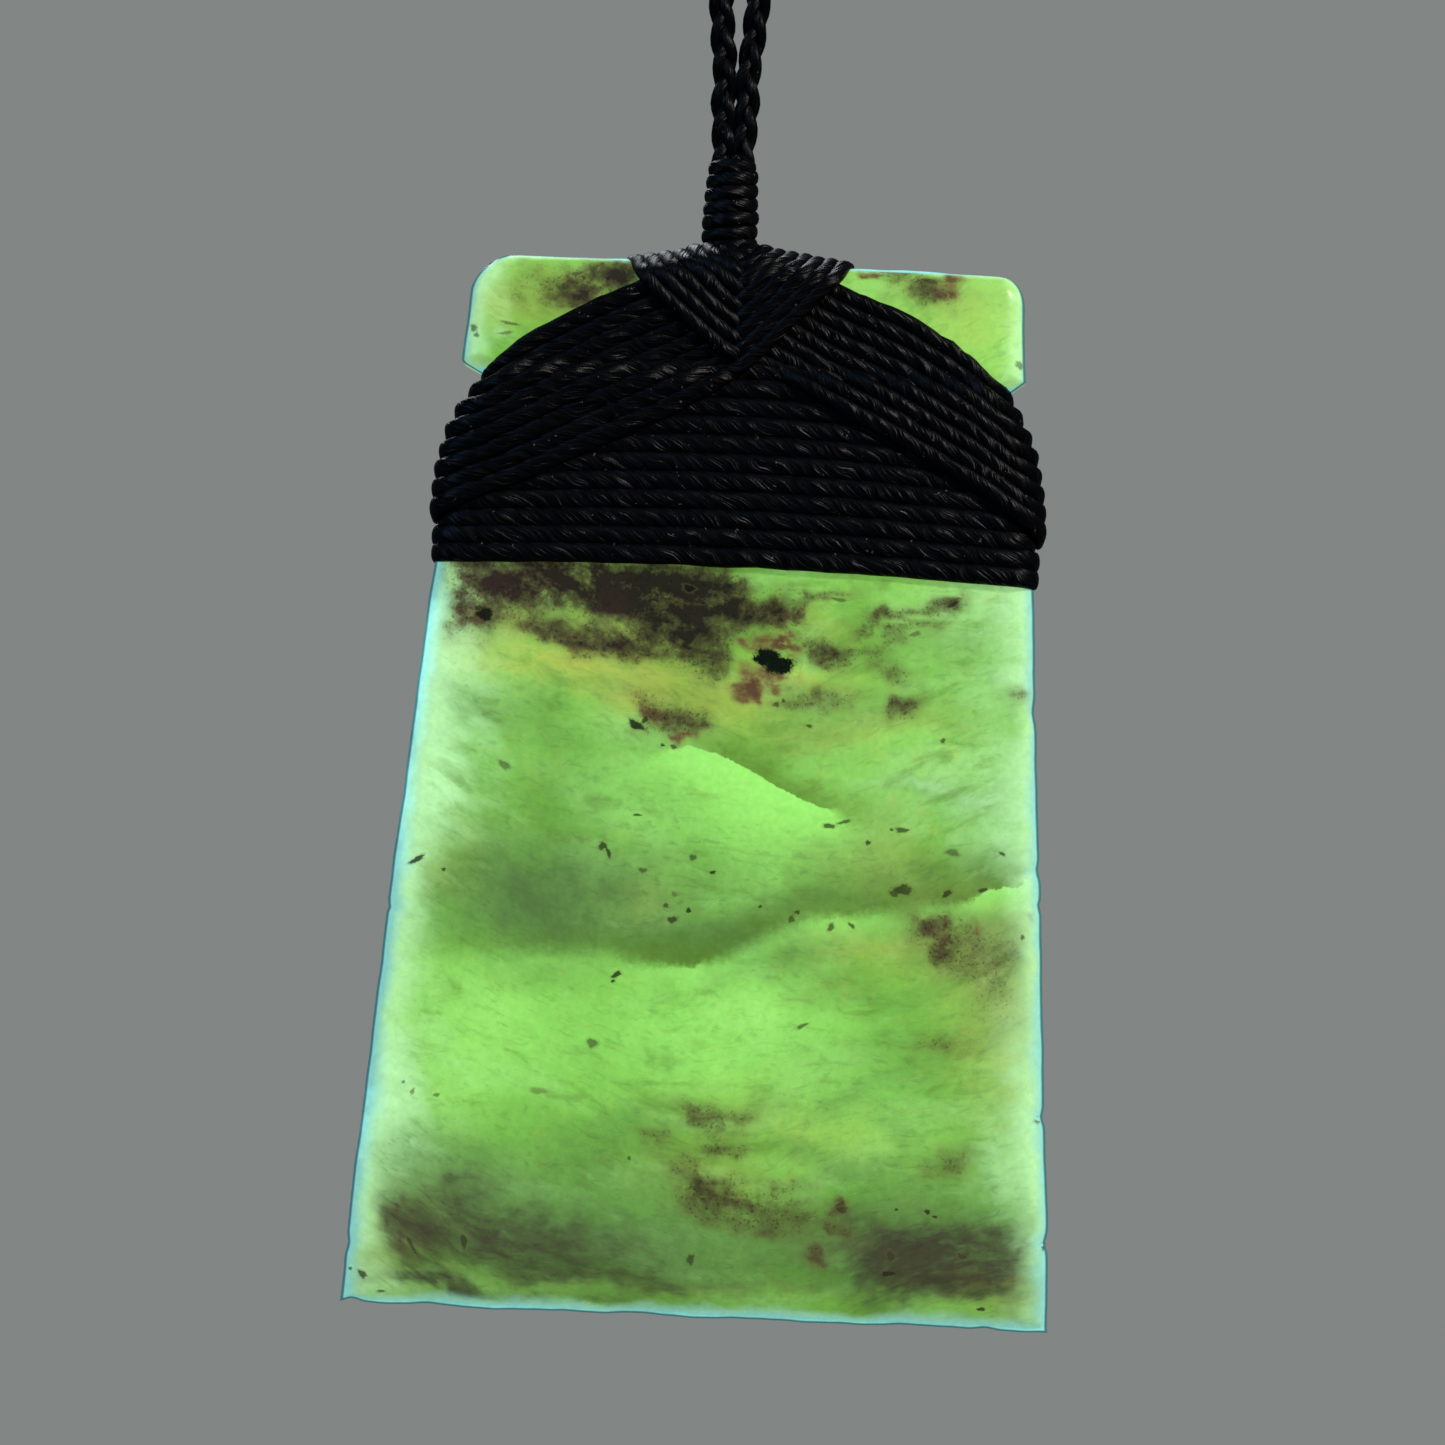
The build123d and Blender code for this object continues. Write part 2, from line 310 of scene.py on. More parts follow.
def round_side(side, z_in, z_mid, half, sink=0.0):
    """A cord round one edge, from the blade's front face to the middle of the edge: its line and outward."""
    line = []
    outward = []
    inner = face_end(side, z_in, sink)
    flat = half - EDGE_ROUND - CORD_HEIGHT
    for angle in np.radians(EDGE_ANGLES):
        share = angle / (math.pi / 2) * EDGE_SHARE
        z = blend(z_in, z_mid, 2 * share - share * share)
        x = blend(inner, side_reach(side, z, sink), math.sin(angle))
        line.append((side * x, -blend(flat, half, math.cos(angle)), z))
        outward.append((side * math.sin(angle), -math.cos(angle), 0.0))
    line.append((side * side_reach(side, z_mid, sink), 0.0, z_mid))
    outward.append((side, 0.0, 0.0))
    return line, outward


def there_and_back(front):
    """The values all round a closed loop from those of its front half."""
    front = np.asarray(front, float)
    return np.concatenate([front, front[-2:0:-1]])


def mirrored(front):
    """A closed loop from its front half, which starts and ends in the middle of the blade's thickness."""
    loop = there_and_back(front)
    loop[len(front):, 1] *= -1
    return loop


def head_place(x, w):
    """The height, depth and slope of a cord w millimetres from the top of the head, over its front."""
    half = bow(HEAD_LOW) + CORD_HEIGHT / 2
    if w >= HEAD_WRAP:
        return HEAD_LOW - (w - HEAD_WRAP), half, math.pi / 2
    angle = w / HEAD_WRAP * math.pi / 2
    z = blend(HEAD_LOW, crown_top(x), math.cos(angle) ** (2 / HEAD_SQUARE))
    return z, half * math.sin(angle) ** (2 / HEAD_SQUARE), angle


def crown_top(x):
    return np.interp(x, CROWN_TOP.x, CROWN_TOP.top)


def wrap_of(x, z):
    """The way from the top of the head to a height on its front."""
    if z <= HEAD_LOW:
        return HEAD_WRAP + HEAD_LOW - z
    share = (z - HEAD_LOW) / (crown_top(x) - HEAD_LOW)
    return HEAD_WRAP * math.acos(min(1.0, share ** (HEAD_SQUARE / 2))) / (math.pi / 2)


# The two families of cross turns. Each goes over the head on one side of the middle, crosses the middle of
# the blade and fans out round its other edge. A row gives where the family's first and its last turn pass.
OVER_RIGHT = table("first_x,first_z,last_x,last_z", [
    (0.50, 1.00, 5.85, 0.40),
    (0.35, 0.85, 5.25, -0.68),
    (0.00, 0.70, 0.00, -5.95),
    (-4.00, -0.90, -4.00, -8.40),
    (-8.00, -2.72, -8.00, -10.30),
    (-12.00, -4.95, -12.00, -12.35),
    (-13.60, -6.25, -16.20, -14.15),
    (-14.60, -7.15, -17.30, -14.95),
])
OVER_LEFT = table("first_x,first_z,last_x,last_z", [
    (-0.50, 1.10, -6.45, 0.30),
    (-0.35, 1.00, -5.70, -1.10),
    (0.00, 0.90, -0.70, -5.20),
    (1.20, 0.55, 1.20, -5.45),
    (5.50, -1.50, 4.10, -7.05),
    (9.40, -2.95, 9.00, -9.45),
    (12.50, -4.80, 13.30, -11.70),
    (14.30, -6.35, 16.30, -13.60),
    (15.35, -7.30, 17.60, -15.00),
])
CROSS_TURNS = 8
CROSS_UNEVEN = (0.030, 0.030, 0.060)
CROSS_WOBBLE = 0.03
# Each cross turn leans on the one before it
SHINGLE_TILT = math.radians(9)
SPREAD = 1.13
WIDEST = 1.2
CROWN_WIDTH = 0.90
# The level turns: the top one's and the bottom one's height in the middle of the blade and at its sides
BAND_TURNS = 11
BAND_WIDTH = 1.18
BAND_MIDDLE = (-6.10, -16.78)
BAND_ENDS = (-7.00, -17.05)
BAND_UNEVEN = (0.024, 0.025, 0.05)
BAND_TILT = 0.04
BAND_TOP = -6.45
BAND_BEND = 13.0
BAND_HALF = 17.0
# Which share of the level turns the cross turns cover, and how deep those and the bare ones are sunk
BAND_COVERED = 0.85
SINK_UNDER = 0.9
SINK_BARE = 0.35


def turn_pitch(rows, x):
    """How far apart the family's turns lie at a place across the blade, square to the turns."""
    fan = rows[2:]
    families = ((fan.first_x, fan.first_z), (fan.last_x, fan.last_z))
    levels = [
        [np.interp(at, np.sort(place), height[np.argsort(place)]) for place, height in families]
        for at in (x - 0.5, x, x + 0.5)
    ]
    apart = (levels[1][0] - levels[1][1]) / (CROSS_TURNS - 1)
    slope = (sum(levels[2]) - sum(levels[0])) / 2
    return apart * np.cos(np.arctan(slope))


def cross_turn(over, rows, share, wobble):
    """The front half of one cross turn: its line, outward directions, widths and heights."""
    passes = [
        (blend(row.first_x, row.last_x, share), blend(row.first_z, row.last_z, share))
        for row in rows
    ]
    top_x = passes[0][0]
    edge_z = passes[-1][1] + wobble[1]
    plan = [(top_x, -3.0), (top_x, 0.0)]
    for x, z in passes[1:-1]:
        plan.append((x, wrap_of(x, z + wobble[0] * smooth(2.0, 8.0, -over * x))))
    flat = rounded_path(plan, CORD_STEP / 2, 1.3)[::2]
    flat = flat[flat[:, 1] >= 0.0]
    flat[0] = (top_x, 0.0)
    line = []
    outward = []
    for x, w in flat:
        z, y, slope = head_place(x, w)
        if w > HEAD_WRAP and -over * x > face_end(-over, z, 0.0):
            break
        # Over the head each turn climbs on the other family's turns, where those slope away from the middle
        other_top = 0.9 - 0.33 * abs(x)
        on_top = smooth(-0.42, 0.0, x) if over > 0 else smooth(-0.05, 0.4, -x)
        lift = CORD_HEIGHT * smooth(BAND_TOP + 0.5, BAND_TOP - 0.5, z)
        lift += 0.95 * CORD_HEIGHT * on_top * smooth(other_top + 0.9, other_top - 0.3, z)
        lift += (bow(z) - bow(HEAD_LOW)) * (w > HEAD_WRAP)
        line.append((x, -(y + lift), z))
        outward.append((0.0, -math.sin(slope), math.cos(slope)))
    side_line, side_outward = round_side(-over, line[-1][2] - 0.1, edge_z, -line[-1][1])
    line = np.array(line + side_line)
    narrow = smooth(-2.2, 1.0, over * line[:, 0])
    laid = np.clip(SPREAD * turn_pitch(rows, line[:, 0]), CROWN_WIDTH, WIDEST)
    width = laid - (laid - CROWN_WIDTH) * narrow
    height = LAID_HEIGHT + 0.12 * narrow
    return line, outward + side_outward, width, height


def build_cross_lashing():
    """The figure-eight turns: left and right turns laid in pairs, each pair outside the one before."""
    rng = np.random.default_rng(7)
    cords = CordMesh(LASHING_SIDES)
    for turn in range(CROSS_TURNS):
        share = turn / (CROSS_TURNS - 1)
        for over, rows in ((-1, OVER_LEFT), (1, OVER_RIGHT)):
            wobble = rng.normal(0.0, CROSS_WOBBLE, 2)
            line, outward, width, height = cross_turn(over, rows, share, wobble)
            cords.add_turn(rng, mirrored(line), mirrored(outward), there_and_back(width),
                           there_and_back(height), CROSS_UNEVEN, over * SHINGLE_TILT)
    return cords.build("cross_turns", True)


def build_band():
    """The level turns, one under another. The upper ones rise a little in the middle, under the crossing."""
    rng = np.random.default_rng(11)
    cords = CordMesh(LASHING_SIDES)
    for turn in range(BAND_TURNS):
        share = turn / (BAND_TURNS - 1)
        middle = blend(*BAND_MIDDLE, share)
        end = blend(*BAND_ENDS, share)
        tilt = rng.normal(0.0, BAND_TILT)
        sink = CORD_HEIGHT * (SINK_UNDER if share < BAND_COVERED else SINK_BARE)
        half = bow(middle) + CORD_HEIGHT / 2
        x = np.linspace(face_end(1, end, sink), -face_end(-1, end, sink), 40)
        z = blend(middle, end, np.minimum(np.abs(x) / BAND_BEND, 1.2) ** 2) + tilt * x / BAND_HALF
        front = list(zip(x, np.full(len(x), -half), z))
        ahead = [(0.0, -1.0, 0.0)] * len(front)
        right, right_out = round_side(1, z[0], z[0] - 0.1, half, sink)
        left, left_out = round_side(-1, z[-1], z[-1] - 0.1, half, sink)
        loop = mirrored(right[::-1] + front + left)
        outward = mirrored(right_out[::-1] + ahead + left_out)
        cords.add_turn(rng, loop, outward, BAND_WIDTH, LAID_HEIGHT, BAND_UNEVEN)
    return cords.build("band_turns", True)


# Neck, plaits and closure

# How the whipping of the neck swells, from its foot to its top
NECK_SWELL = table("share,radius", [
    (0.00, 1.34),
    (0.25, 1.36),
    (0.50, 1.32),
    (0.75, 1.22),
    (1.00, 1.04),
])
NECK_TURNS = 7.0
NECK_ENDS = 6
STEPS_PER_TURN = 30
CLOSURE_TURNS = 10.0
PEG_RADIUS = 12.3
PLAIT_DIAMETER = 1.45
PLAIT_GAP = 0.12
PARALLEL_RISE = 4.7
PLAIT_WAVE = 5.6
# The bulges of the two plaits face each other just over the neck
PLAIT_SHIFT = {-1: -0.059, 1: 0.108}
PLAIT_SEED = {-1: 5, 1: 9}
STRAND = 0.70
THROUGH = np.array([0.0, 1.0, 0.0])


def coil(cords, low, high, turns, radius_at, width, height, centre=0.0, lean=0.0, squash=1.0):
    """A cord wound round an upright axis that passes through centre and leans to the right by lean."""
    steps = int(turns * STEPS_PER_TURN)
    share = np.arange(steps + 1) / steps
    angle = share * turns * 2 * math.pi + 0.4 * math.pi
    z = blend(low, high, np.clip((share * turns - 0.5) / (turns - 1), 0.0, 1.0))
    out = np.stack([np.cos(angle), squash * np.sin(angle), 0 * z], 1)
    line = np.stack([centre + lean * z, 0 * z, z], 1) + out * radius_at(share)[:, None]
    cords.add(line, out, width, height, square=2.2)


def build_neck():
    """The whipping round the cords that leave the lashing, with their ends inside it."""
    low, high = (corner.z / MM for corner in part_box("neck_whipping"))
    cords = CordMesh(NECK_SIDES)
    bumps = np.random.default_rng(3).normal(0.0, 0.045, 26)

    def radius_at(share):
        barrel = np.interp(share, NECK_SWELL.share, NECK_SWELL.radius)
        return barrel + np.interp(share, np.linspace(0, 1, len(bumps)), bumps)

    coil(cords, low - 0.45, high - 0.38, NECK_TURNS, radius_at, 0.86, 0.60, squash=0.94)
    for index in range(NECK_ENDS):
        angle = index / NECK_ENDS * 2 * math.pi + 0.3
        foot = np.array([1.15 * math.cos(angle), 0.9 * math.sin(angle), low - 0.5])
        top = np.array([0.75 * math.cos(angle + 0.5), 0.6 * math.sin(angle + 0.5), high + 0.25])
        line = [blend(foot, top, share) for share in np.linspace(0, 1, 24)]
        cords.add(line, [(math.cos(angle), math.sin(angle), 0.0)] * len(line), 0.72, 0.66)
    return cords.build("neck_turns")


def loop_sizes():
    """The loop's radius, half the plaits' spacing, the heights of the neck and of the bend, and the lean."""
    radius = PEG_RADIUS + PLAIT_DIAMETER / 2
    spacing = (PLAIT_DIAMETER + PLAIT_GAP) / 2
    neck_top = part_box("neck_whipping")[1].z / MM
    bend = neck_top + PARALLEL_RISE
    lean = 0.05
    # The straight runs touch the loop where the lean says, and the lean follows from how long they are
    for _ in range(20):
        run = (-PEG_RADIUS - radius * math.sin(lean) - bend) / math.cos(lean)
        lean = math.asin((radius * math.cos(lean) - spacing) / run)
    return radius, spacing, neck_top, bend, lean


def plait_route(side):
    """The middle line of one plait, in millimetres of the row frame."""
    radius, spacing, neck_top, bend, lean = loop_sizes()
    leave_z = -PEG_RADIUS - radius * math.sin(lean)
    closure_low, closure_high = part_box("closure_whipping")
    join_z = ((closure_low + closure_high) / 2 / MM).z

    def pinch(z):
        """How much the two plaits are drawn together where they part."""
        return 0.17 * math.exp(-((z - bend) / 1.7) ** 2)

    points = []
    for z in np.arange(neck_top - 0.2, bend, 0.2):
        squeeze = smooth(4.2, 0.4, z - neck_top)
        points.append((side * (spacing - 0.26 * squeeze - pinch(z)), z))
    for z in np.arange(bend, leave_z if side < 0 else join_z, 0.25):
        points.append((side * (spacing - pinch(z) + (z - bend) * math.tan(lean)), z))
    if side < 0:
        for angle in np.linspace(math.pi + lean, -lean, 190):
            points.append((radius * math.cos(angle), -PEG_RADIUS + radius * math.sin(angle)))
        for z in np.arange(leave_z - 0.2, join_z, -0.25):
            points.append((radius * math.cos(lean) - (leave_z - z) * math.tan(lean), z))
    return np.array(points)


def build_plait(side, name):
    """A plait of three cords that follows its route."""
    route = plait_route(side)
    far = way_along(route)
    samples = np.arange(0.0, far[-1], PLAIT_WAVE / 16)
    x, z = (np.interp(samples, far, axis) for axis in route.T)
    centre = np.stack([x, 0 * x, z], 1)
    across = np.cross(unit(np.gradient(centre, axis=0)), THROUGH)
    rng = np.random.default_rng(PLAIT_SEED[side])
    wave = np.interp(samples, np.arange(0, far[-1] + 9, 9), rng.normal(0, 0.12, int(far[-1] / 9) + 2))
    half_width = (PLAIT_DIAMETER + 0.08 - STRAND) / 2
    knots = np.arange(0, far[-1] + 1, 0.7)
    cords = CordMesh(PLAIT_SIDES)
    for strand in range(3):
        phase = 2 * math.pi * (samples / PLAIT_WAVE + strand / 3 + PLAIT_SHIFT[side]) + wave * side
        swing = half_width * np.sin(phase)
        depth = 0.24 * np.sin(2 * phase)
        line = centre + across * swing[:, None] + THROUGH * depth[:, None]
        swell = 1 + np.interp(samples, knots, rng.normal(0, 0.055, len(knots)))
        cords.add(line, THROUGH + across * 0.2, STRAND * swell, STRAND * 0.92 * swell, start=strand * 1.7)
    return cords.build(name)


def build_closure():
    """The whipping that joins the two plaits out of sight behind the wearer's neck."""
    low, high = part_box("closure_whipping")
    low_z = low.z / MM + 0.35
    high_z = high.z / MM - 0.35
    slope = math.tan(loop_sizes()[-1])
    foot_x = (low.x + high.x) / 2 / MM - slope * (low_z + high_z) / 2
    cords = CordMesh(PLAIT_SIDES)

    def radius_at(share):
        return 1.28 - 0.25 * abs(2 * share - 1) ** 6

    coil(cords, low_z, high_z, CLOSURE_TURNS, radius_at, 0.84, 0.5, foot_x, slope)
    return cords.build("closure_turns")


# Blade

NOTCHES = table("side,top,tip,low,depth", [
    (-1, 6.25, 7.0, 9.7, 1.65),
    (1, 6.05, 7.1, 9.7, 1.65),
])

# Small nicks in the blade's outline, read from the photograph: which edge, the pixel, length and depth
NICKS = table("edge,u,v,long,deep", [
    ("right", 1034, 712, 1.3, 0.14),
    ("right", 1036, 870, 0.9, 0.15),
    ("right", 1042, 1115, 0.7, 0.14),
    ("right", 1036, 905, 0.6, 0.12),
    ("right", 1046, 1240, 0.8, 0.15),
    ("left", 391, 905, 0.5, 0.10),
    ("left", 347, 1240, 0.9, 0.14),
    ("foot", 352, 1300, 1.0, 0.22),
    ("foot", 430, 1304, 2.2, 0.14),
    ("foot", 640, 1311, 3.0, 0.12),
    ("foot", 905, 1325, 2.6, 0.13),
    ("foot", 985, 1327, 1.2, 0.10),
])
# How far the outline swells beyond its straight sides, by height
SWELL = table("z,left,right", [
    (0.0, 0.15, -0.22),
    (-6.0, 0.18, -0.20),
    (-9.0, 0.10, -0.10),
    (-17.0, 0.10, -0.02),
    (-21.0, 0.28, 0.00),
    (-42.0, 0.32, 0.06),
    (-54.0, 0.22, 0.06),
    (-61.0, 0.20, 0.06),
])
BLADE_COLUMNS = 150
BLADE_ROWS = 230
# Where the faces have more points: near the head, the notches, the foot and the two sides
DENSE_DOWN = table("place,width,more", [
    (0.0, 0.02, 3.0),
    (0.128, 0.025, 2.6),
    (1.0, 0.02, 2.5),
])
DENSE_ACROSS = table("place,width,more", [
    (0.0, 0.03, 2.0),
    (1.0, 0.03, 2.0),
])
# The side walls between the two faces: their inner rings, as shares of the depth, and how much painted icy
# light and painted mint haze of light they get there, with no painted dark rim
WALL_SHARES = (0.05, 0.5, 0.95)
WALL_LOOK = {"edge_glow": 0.20, "edge_haze_glow": 0.30, "rim": -1.0}


def nick_at(edge, place):
    """How deep the nicks of one edge are at a place along it."""
    total = np.zeros_like(place)
    for nick in NICKS[NICKS.edge == edge]:
        x, z = from_photo(nick.u, nick.v)
        along = x if edge == "foot" else z
        total += nick.deep * np.exp(-((place - along) / (nick.long / 2)) ** 2)
    return total


def foot_line(x):
    """The height of the cutting edge at a place across the blade."""
    return nick_at("foot", x) + ripple(x, 31, 0.03, 11.0) - BLADE_LENGTH


def ripple(place, seed, size, wave):
    """A soft irregular ripple along a line."""
    rng = np.random.default_rng(seed)
    total = np.zeros_like(place)
    for octave in range(4):
        length = wave / 1.9 ** octave
        total += size / 1.6 ** octave * np.sin(2 * math.pi * (place / length + rng.uniform()) + rng.uniform())
    return total


def notch_bite(side, z):
    """How deep one side's notch is at a height, with a steep upper facet and a long lower one."""
    notch = NOTCHES[NOTCHES.side == side][0]
    heights = [-notch.low, -notch.tip - 0.5, -notch.tip, -notch.top]
    return np.interp(z, heights, [0.0, notch.depth, notch.depth * 0.9, 0.0])


def corner_inset(radius, z):
    """How far a round corner of the head stands in from the straight side."""
    drop = np.clip(radius + z, 0.0, radius)
    return radius - np.sqrt(np.maximum(radius ** 2 - drop ** 2, 0.0))


def outline_x(side, z):
    """The blade's outline on one side, with its corner, notch, nicks and ripple."""
    radius = CORNER_ROUND[side]
    edge = SIDES[side]
    uneven = ripple(z, 21 + side, 0.030, 17.0) - nick_at(edge, z)
    uneven += np.interp(-z, -SWELL.z, SWELL[edge])
    uneven -= notch_bite(side, z)
    return side_of_blade(side, z) - corner_inset(radius, z) + uneven * smooth(0.0, -radius, z)


def half_thickness(x, z, front):
    """Half the blade's thickness, on its front (-1) or back (1), rounded off towards the outline."""
    bevel = BEVEL[front]
    start = -BLADE_LENGTH + bevel
    ground = bow(start) - (bow(start) - FOOT_HALF) / bevel * (start - z)
    half = np.minimum(bow(z), ground) - BEVEL_DIP * np.exp(-((z - start) / 0.6) ** 2)
    half = half - FACE_CROWN * (x / 18.0) ** 2
    half += 0.012 * np.sin(x * 0.55 + front) * np.sin(z * 0.43) + 0.008 * np.sin(x * 1.3 + z * 0.9)
    near_edge = np.clip(outline_distance(x, z) / EDGE_ROUND, 0.0, 1.0)
    inset = EDGE_ROUND * (1 - np.sqrt(1 - (1 - near_edge) ** 2))
    half -= np.minimum(inset, np.maximum(half - ROUND_LEAST, 0.0))
    return np.maximum(half - notch_scallop(x, z), NOTCH_LEAST)


def denser(count, spots):
    """Shares from 0 to 1, closer together near each spot."""
    even = np.linspace(0, 1, count)
    density = 1.0 + sum(spot.more * np.exp(-((even - spot.place) / spot.width) ** 2) for spot in spots)
    share = np.concatenate([[0.0], np.cumsum(1 / density[1:])])
    return share / share[-1]


def build_blade():
    """The blade as two faces joined round the edge, with the specks in it as small discs on its skin."""
    across = denser(BLADE_COLUMNS, DENSE_ACROSS)
    z_row = -denser(BLADE_ROWS, DENSE_DOWN) * BLADE_LENGTH
    left = -outline_x(-1, z_row)
    right = outline_x(1, z_row)
    x = left[:, None] + (right - left)[:, None] * across[None, :]
    foot = foot_line(x[-1]) + BLADE_LENGTH
    head = ripple(x[0], 33, 0.03, 14.0) + 0.10 - 0.10 * (x[0] / 12.0) ** 2
    z = z_row[:, None] + foot[None, :] * smooth(-BLADE_LENGTH + 4.0, -BLADE_LENGTH, z_row)[:, None]
    z = z + head[None, :] * smooth(-2.5, 0.0, z_row)[:, None]
    verts = [np.stack([x, side * half_thickness(x, z, side), z], -1).reshape(-1, 3) for side in (-1, 1)]
    verts = np.concatenate(verts)
    front, back = np.arange(len(verts)).reshape(2, *x.shape)
    rim = np.concatenate([front[0], front[1:, -1], front[-1, -2::-1], front[-2:0:-1, 0]])
    wall = np.concatenate([blend(verts[rim], verts[rim + x.size], share) for share in WALL_SHARES])
    wall_rings = len(verts) + np.arange(len(wall)).reshape(len(WALL_SHARES), -1)
    faces = cells(front, True).tolist() + cells(back).tolist()
    faces += cells(wrapped(np.vstack([rim, wall_rings, rim + x.size]))).tolist()
    verts = np.concatenate([verts, wall])
    speck_verts, speck_faces = speck_discs(len(verts))
    depth, dark = speck_fields(speck_verts[:, 0], speck_verts[:, 2])
    blank = np.zeros(len(verts))
    verts = np.concatenate([verts, speck_verts])
    obj = new_mesh("blade_stone", to_row(verts), faces + speck_faces)
    fields = stone_fields(verts[:, 0], verts[:, 2])
    for name, value in WALL_LOOK.items():
        fields[name][wall_rings] = value
    fields["speck"] = np.concatenate([blank - 1, depth])
    fields["speck_dark"] = np.concatenate([blank, dark])
    for name, values in fields.items():
        layer = obj.data.attributes.new(name=name, type="FLOAT", domain="POINT")
        layer.data.foreach_set("value", values.astype(np.float32))
    return obj


SPECK_RINGS = (0.35, 0.7, 1.0, 1.35, 1.9)
SPECK_SIDES = 16
SPECK_LIFT = 0.004
SPECK_LOBES = table("lobes,swing", [
    (1, 0.14),
    (2, 0.12),
    (3, 0.14),
    (5, 0.09),
])


def speck_fields(x, z):
    """How deep inside a speck each place lies, 1 in its middle and 0 at its ragged outline, and how dark."""
    rng = np.random.default_rng(17)
    depth = np.full(x.shape, -1.0)
    dark = np.zeros(x.shape)
    for speck in SPECKS:
        across, below = oval_place(speck, x, z)
        angle = np.arctan2(below, across)
        ragged = 1.0
        for row in SPECK_LOBES:
            ragged = ragged + row.swing * np.sin(row.lobes * angle + rng.uniform(0, 2 * math.pi))
        inside = 1 - np.hypot(across, below) / ragged
        dark = np.where(inside > depth, speck.dark, dark)
        depth = np.maximum(depth, inside)
    return depth, dark


def speck_discs(start):
    """Discs on both faces, over each speck: their vertices and faces."""
    turn = np.linspace(0, 2 * math.pi, SPECK_SIDES, endpoint=False)
    rings = 1 + np.arange(len(SPECK_RINGS) * SPECK_SIDES).reshape(-1, SPECK_SIDES)
    ring = wrapped(rings)[0]
    disc = [(0, after, near) for near, after in zip(ring, ring[1:])] + cells(wrapped(rings)).tolist()
    places = []
    faces = []
    for speck in SPECKS:
        middle_x, middle_z = from_photo(speck.u, speck.v)
        lean = math.radians(speck.turn)
        across = np.append(0.0, np.outer(SPECK_RINGS, np.cos(turn))) * speck.wide * PHOTO_MM
        below = np.append(0.0, np.outer(SPECK_RINGS, np.sin(turn))) * speck.high * PHOTO_MM
        x = middle_x + across * math.cos(lean) - below * math.sin(lean)
        z = middle_z - across * math.sin(lean) - below * math.cos(lean)
        z = np.clip(z, 0.15 - BLADE_LENGTH, -0.15)
        x = np.clip(x, 0.12 - outline_x(-1, z), outline_x(1, z) - 0.12)
        for front in (-1, 1):
            base = start + len(places) * len(x)
            places.append(np.stack([x, front * (half_thickness(x, z, front) + SPECK_LIFT), z], -1))
            faces += [[base + number for number in corners[::-front]] for corners in disc]
    return np.concatenate(places), faces


def outline_distance(x, z):
    """The distance from places on the blade's face to its outline, in millimetres."""
    heights = np.linspace(0, -BLADE_LENGTH, 500)
    result = np.minimum(-z, z + BLADE_LENGTH)
    for side in (-1, 1):
        edge = side * outline_x(side, heights)
        near = np.empty(x.size)
        for start in range(0, x.size, 4000):
            part = slice(start, start + 4000)
            dx = x.ravel()[part, None] - edge[None, :]
            dz = z.ravel()[part, None] - heights[None, :]
            near[part] = np.sqrt((dx * dx + dz * dz).min(1))
        result = np.minimum(result, near.reshape(x.shape))
    return np.maximum(result, 0.0)


def notch_scallop(x, z):
    """The hollow facets that open each notch towards the blade's faces, and a shallow one above it."""
    total = np.zeros_like(x)
    for notch in NOTCHES:
        side = notch.side
        tip_x = side * (side_of_blade(side, -notch.tip) - notch.depth * 0.5)
        shoulder_x = side * side_of_blade(side, -3.0)
        for deep, at_x, at_z, wide, high in (
            (0.9, tip_x, -notch.tip - 0.4, 1.9, 1.5),
            (0.10, shoulder_x, -4.4, 0.55, 1.4),
        ):
            away = np.sqrt(((x - at_x) / wide) ** 2 + ((z - at_z) / high) ** 2)
            total += deep * np.clip(1 - away, 0.0, 1.0)
    return total


# What lies in the stone, read from the photograph in its pixels. Each patch is an oval: its middle, its half
# width and half height, the angle it is turned by, and how strong it is.
PATCH = "u,v,wide,high,turn,strength"
SHADE = table(PATCH, [
    (555, 893, 88, 52, 0, 0.85),
    (500, 880, 60, 50, 0, 0.40),
    (600, 930, 110, 26, 6, 0.55),
    (735, 935, 90, 30, 0, 0.65),
    (800, 905, 60, 30, -10, 0.45),
    (880, 870, 80, 32, 15, 0.50),
    (970, 870, 60, 26, 0, 0.40),
    (860, 905, 60, 12, 0, 0.45),
    (620, 770, 100, 22, 28, 0.30),
    (480, 700, 70, 14, 18, 0.32),
    (560, 800, 40, 30, 0, 0.25),
    (420, 1150, 70, 26, 5, 0.42),
    (540, 1205, 120, 50, 8, 0.62),
    (700, 1240, 190, 34, 2, 0.60),
    (640, 1150, 70, 40, 0, 0.30),
    (930, 1200, 80, 34, 0, 0.55),
    (620, 1118, 26, 11, 10, 0.30),
    (772, 1100, 30, 12, -20, 0.30),
    (800, 1150, 42, 14, 20, 0.36),
    (862, 1168, 42, 13, -15, 0.36),
    (690, 1218, 44, 15, 0, 0.36),
    (782, 1232, 50, 18, 0, 0.36),
    (842, 1098, 30, 10, -25, 0.28),
    (902, 1132, 30, 13, 30, 0.30),
    (650, 1182, 40, 13, 10, 0.32),
    (598, 1158, 30, 18, 0, 0.30),
    (850, 720, 90, 22, -12, 0.30),
    (930, 790, 60, 10, 3, 0.22),
    (700, 875, 60, 36, 0, 0.34),
    (710, 930, 50, 10, 4, 0.50),
    (745, 941, 40, 14, -14, 0.45),
    (940, 650, 46, 26, 0, 0.28),
    (960, 932, 60, 36, 10, 0.55),
    (900, 1080, 90, 40, 10, 0.20),
])
